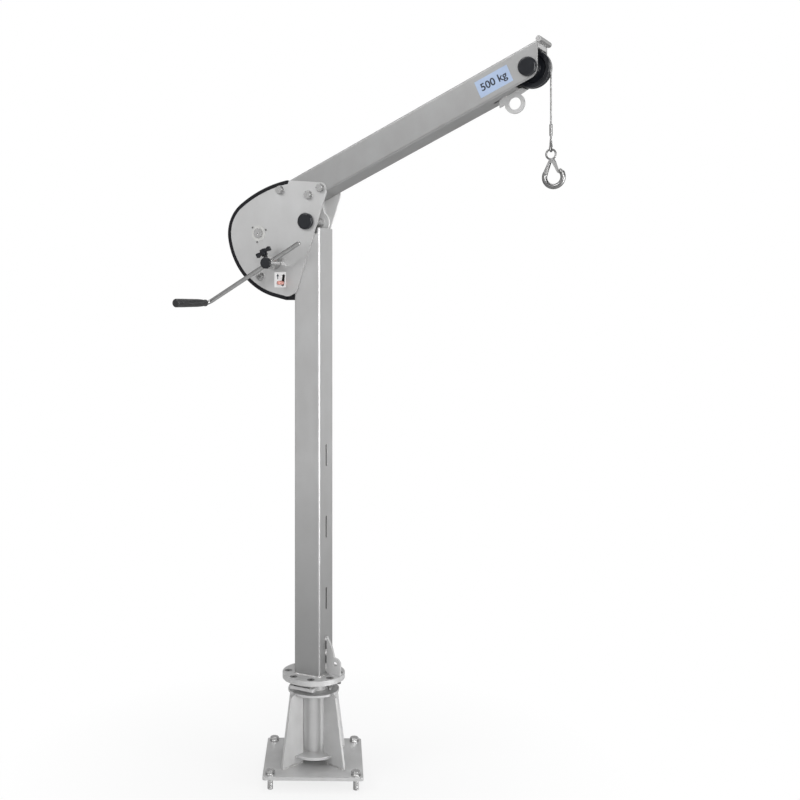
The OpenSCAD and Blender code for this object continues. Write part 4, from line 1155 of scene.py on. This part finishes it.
@dataclass(frozen=True)
class Lamp:
    """A soft rectangular lamp that faces a target, in metres and watts."""

    name: str
    at: Point
    target: Point
    size: Pair
    power: float

    def build(self) -> None:
        """Adds the lamp to the scene."""
        data = bpy.data.lights.new(self.name, "AREA")
        data.shape = "RECTANGLE"
        data.size, data.size_y = self.size
        data.energy = self.power
        lamp = bpy.data.objects.new(self.name, data)
        lamp.location = self.at
        facing = Vector(self.target) - Vector(self.at)
        lamp.rotation_euler = facing.to_track_quat("-Z", "Y").to_euler()
        bpy.context.scene.collection.objects.link(lamp)


@dataclass
class Studio:
    """The photograph's camera, a plain pale floor and soft light, in metres and degrees."""

    place: Point = (1.7018, -3.0730, 1.44665)
    turn: float = 29.32
    lens: float = 50.22
    sensor: float = 36.0
    shift: Pair = (0.1162, -0.1244)
    floor_z: float = -0.0345
    floor_half: float = 14.0
    floor_thick: float = 0.05
    sky: tuple[Pair, ...] = (
        (0.0, 0.5), (0.48, 0.60), (0.52, 0.95), (0.58, 0.55), (0.71, 0.62), (0.80, 0.14),
        (1.0, 0.5),
    )
    lamps: tuple[Lamp, ...] = (
        Lamp("key", (-2.6, -4.6, 5.4), (0.1, 0.0, 1.4), (2.8, 2.8), 140.0),
        Lamp("right", (3.6, -0.2, 0.75), (0.0, 0.0, 0.9), (0.9, 2.2), 90.0),
        Lamp("front", (4.2, -5.8, 3.2), (0.0, 0.0, 1.5), (2.0, 3.2), 230.0),
        Lamp("top", (0.2, 0.8, 5.6), (0.2, 0.0, 1.0), (3.4, 2.4), 125.0),
    )

    def build_camera(self) -> None:
        """Sets the camera as solved from the photograph."""
        data = bpy.data.cameras.new("camera")
        data.lens = self.lens
        data.sensor_width = self.sensor
        data.shift_x, data.shift_y = self.shift
        data.clip_end = 60.0
        camera = bpy.data.objects.new("camera", data)
        camera.location = self.place
        camera.rotation_euler = (math.pi / 2, 0.0, math.radians(self.turn))
        bpy.context.scene.collection.objects.link(camera)
        bpy.context.scene.camera = camera

    def build_floor(self) -> None:
        """A large plain floor, which the camera sees as white apart from its shadow."""
        mesh = Mesh("floor")
        r, z = self.floor_half, self.floor_z
        mesh.plate([(-r, -r, z), (r, -r, z), (r, r, z), (-r, r, z)], (0, 0, -self.floor_thick))
        s = Shader("floor_paint")
        tint = s.noise(s.place(), 3.0)
        s.set(Base_Color=s.mix(tint, grey(0.60), grey(0.63)), Roughness=0.75 + 0.1 * tint)
        self.whiten(s)
        floor = mesh.write()
        floor.data.materials.append(s.material)

    def whiten(self, s: Shader) -> None:
        """Fades a floor to white for the camera, away from the object's shadow."""
        run = s.node("ShaderNodeVectorMath", {"operation": "LENGTH"}, {0: s.place()}, "Value")
        seen = s.node("ShaderNodeLightPath", {}, {}, "Is Camera Ray")
        share = s.ramp(run * 0.5, (0.05, 0.80), (0.5, 1.0)) * seen
        white = s.node("ShaderNodeEmission", {}, {"Color": grey(1.0)})
        shaded = Socket(s, s.surface.outputs["BSDF"])
        mixed = s.node("ShaderNodeMixShader", {}, {0: share, 1: shaded, 2: white})
        s.feed(s.output, mixed)

    def build_world(self) -> None:
        """White for the camera, a soft grey sky for everything else."""
        world = bpy.data.worlds.new("world")
        world.use_nodes = True
        nodes = Nodes(world.node_tree)
        facing = nodes.node("ShaderNodeTexCoord", {}, {}, "Object")
        height = nodes.node("ShaderNodeSeparateXYZ", {}, {0: facing}, "Z")
        place = nodes.node("ShaderNodeMapRange", {}, {"From Min": -1.0, "Value": height})
        sky = nodes.node("ShaderNodeBackground", {}, {"Color": nodes.ramp(place, *self.sky)})
        white = nodes.node("ShaderNodeBackground", {}, {"Color": grey(1.0)})
        seen = nodes.node("ShaderNodeLightPath", {}, {}, "Is Camera Ray")
        mixed = nodes.node("ShaderNodeMixShader", {}, {0: seen, 1: sky, 2: white})
        nodes.feed(nodes.tree.nodes.new("ShaderNodeOutputWorld").inputs["Surface"], mixed)
        bpy.context.scene.world = world

    def build(self) -> None:
        """Builds the whole studio."""
        self.build_camera()
        self.build_floor()
        self.build_world()
        for lamp in self.lamps:
            lamp.build()
        bpy.context.scene.view_settings.view_transform = "Standard"


class Crane:
    """The dressed crane."""

    def __init__(self, frame: dict) -> None:
        """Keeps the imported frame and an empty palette."""
        self.frame = frame
        self.palette = Palette()

    def dress_nodes(self) -> None:
        """Gives each CAD node its finish."""
        for finish, names in NODE_FINISH.items():
            for name in names:
                self.palette.dress(self.frame["nodes"][name], finish)
                LOG.info("%s: %s", name, finish.name)

    def build(self) -> None:
        """Builds every piece in order, the rope first."""
        rope = Rope()
        rope.build_drop(self.palette)
        rope.build_run(self.palette)
        self.dress_nodes()
        Pedestal().build(self.palette)
        welds = Welds()
        welds.build_pedestal(self.palette)
        welds.build_mast(self.palette)
        welds.build_seam_shadows(self.palette)
        welds.build_boom(self.palette)
        Fasteners().build(self.palette)
        labels = Labels()
        labels.build_capacity(self.palette)
        labels.build_sticker(self.palette)
        GripRibs().build(self.palette)


def main() -> None:
    """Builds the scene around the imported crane."""
    logging.basicConfig(level=logging.INFO, format="%(message)s")
    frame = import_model()
    Crane(frame).build()
    Studio().build()


if __name__ == "__main__":
    main()
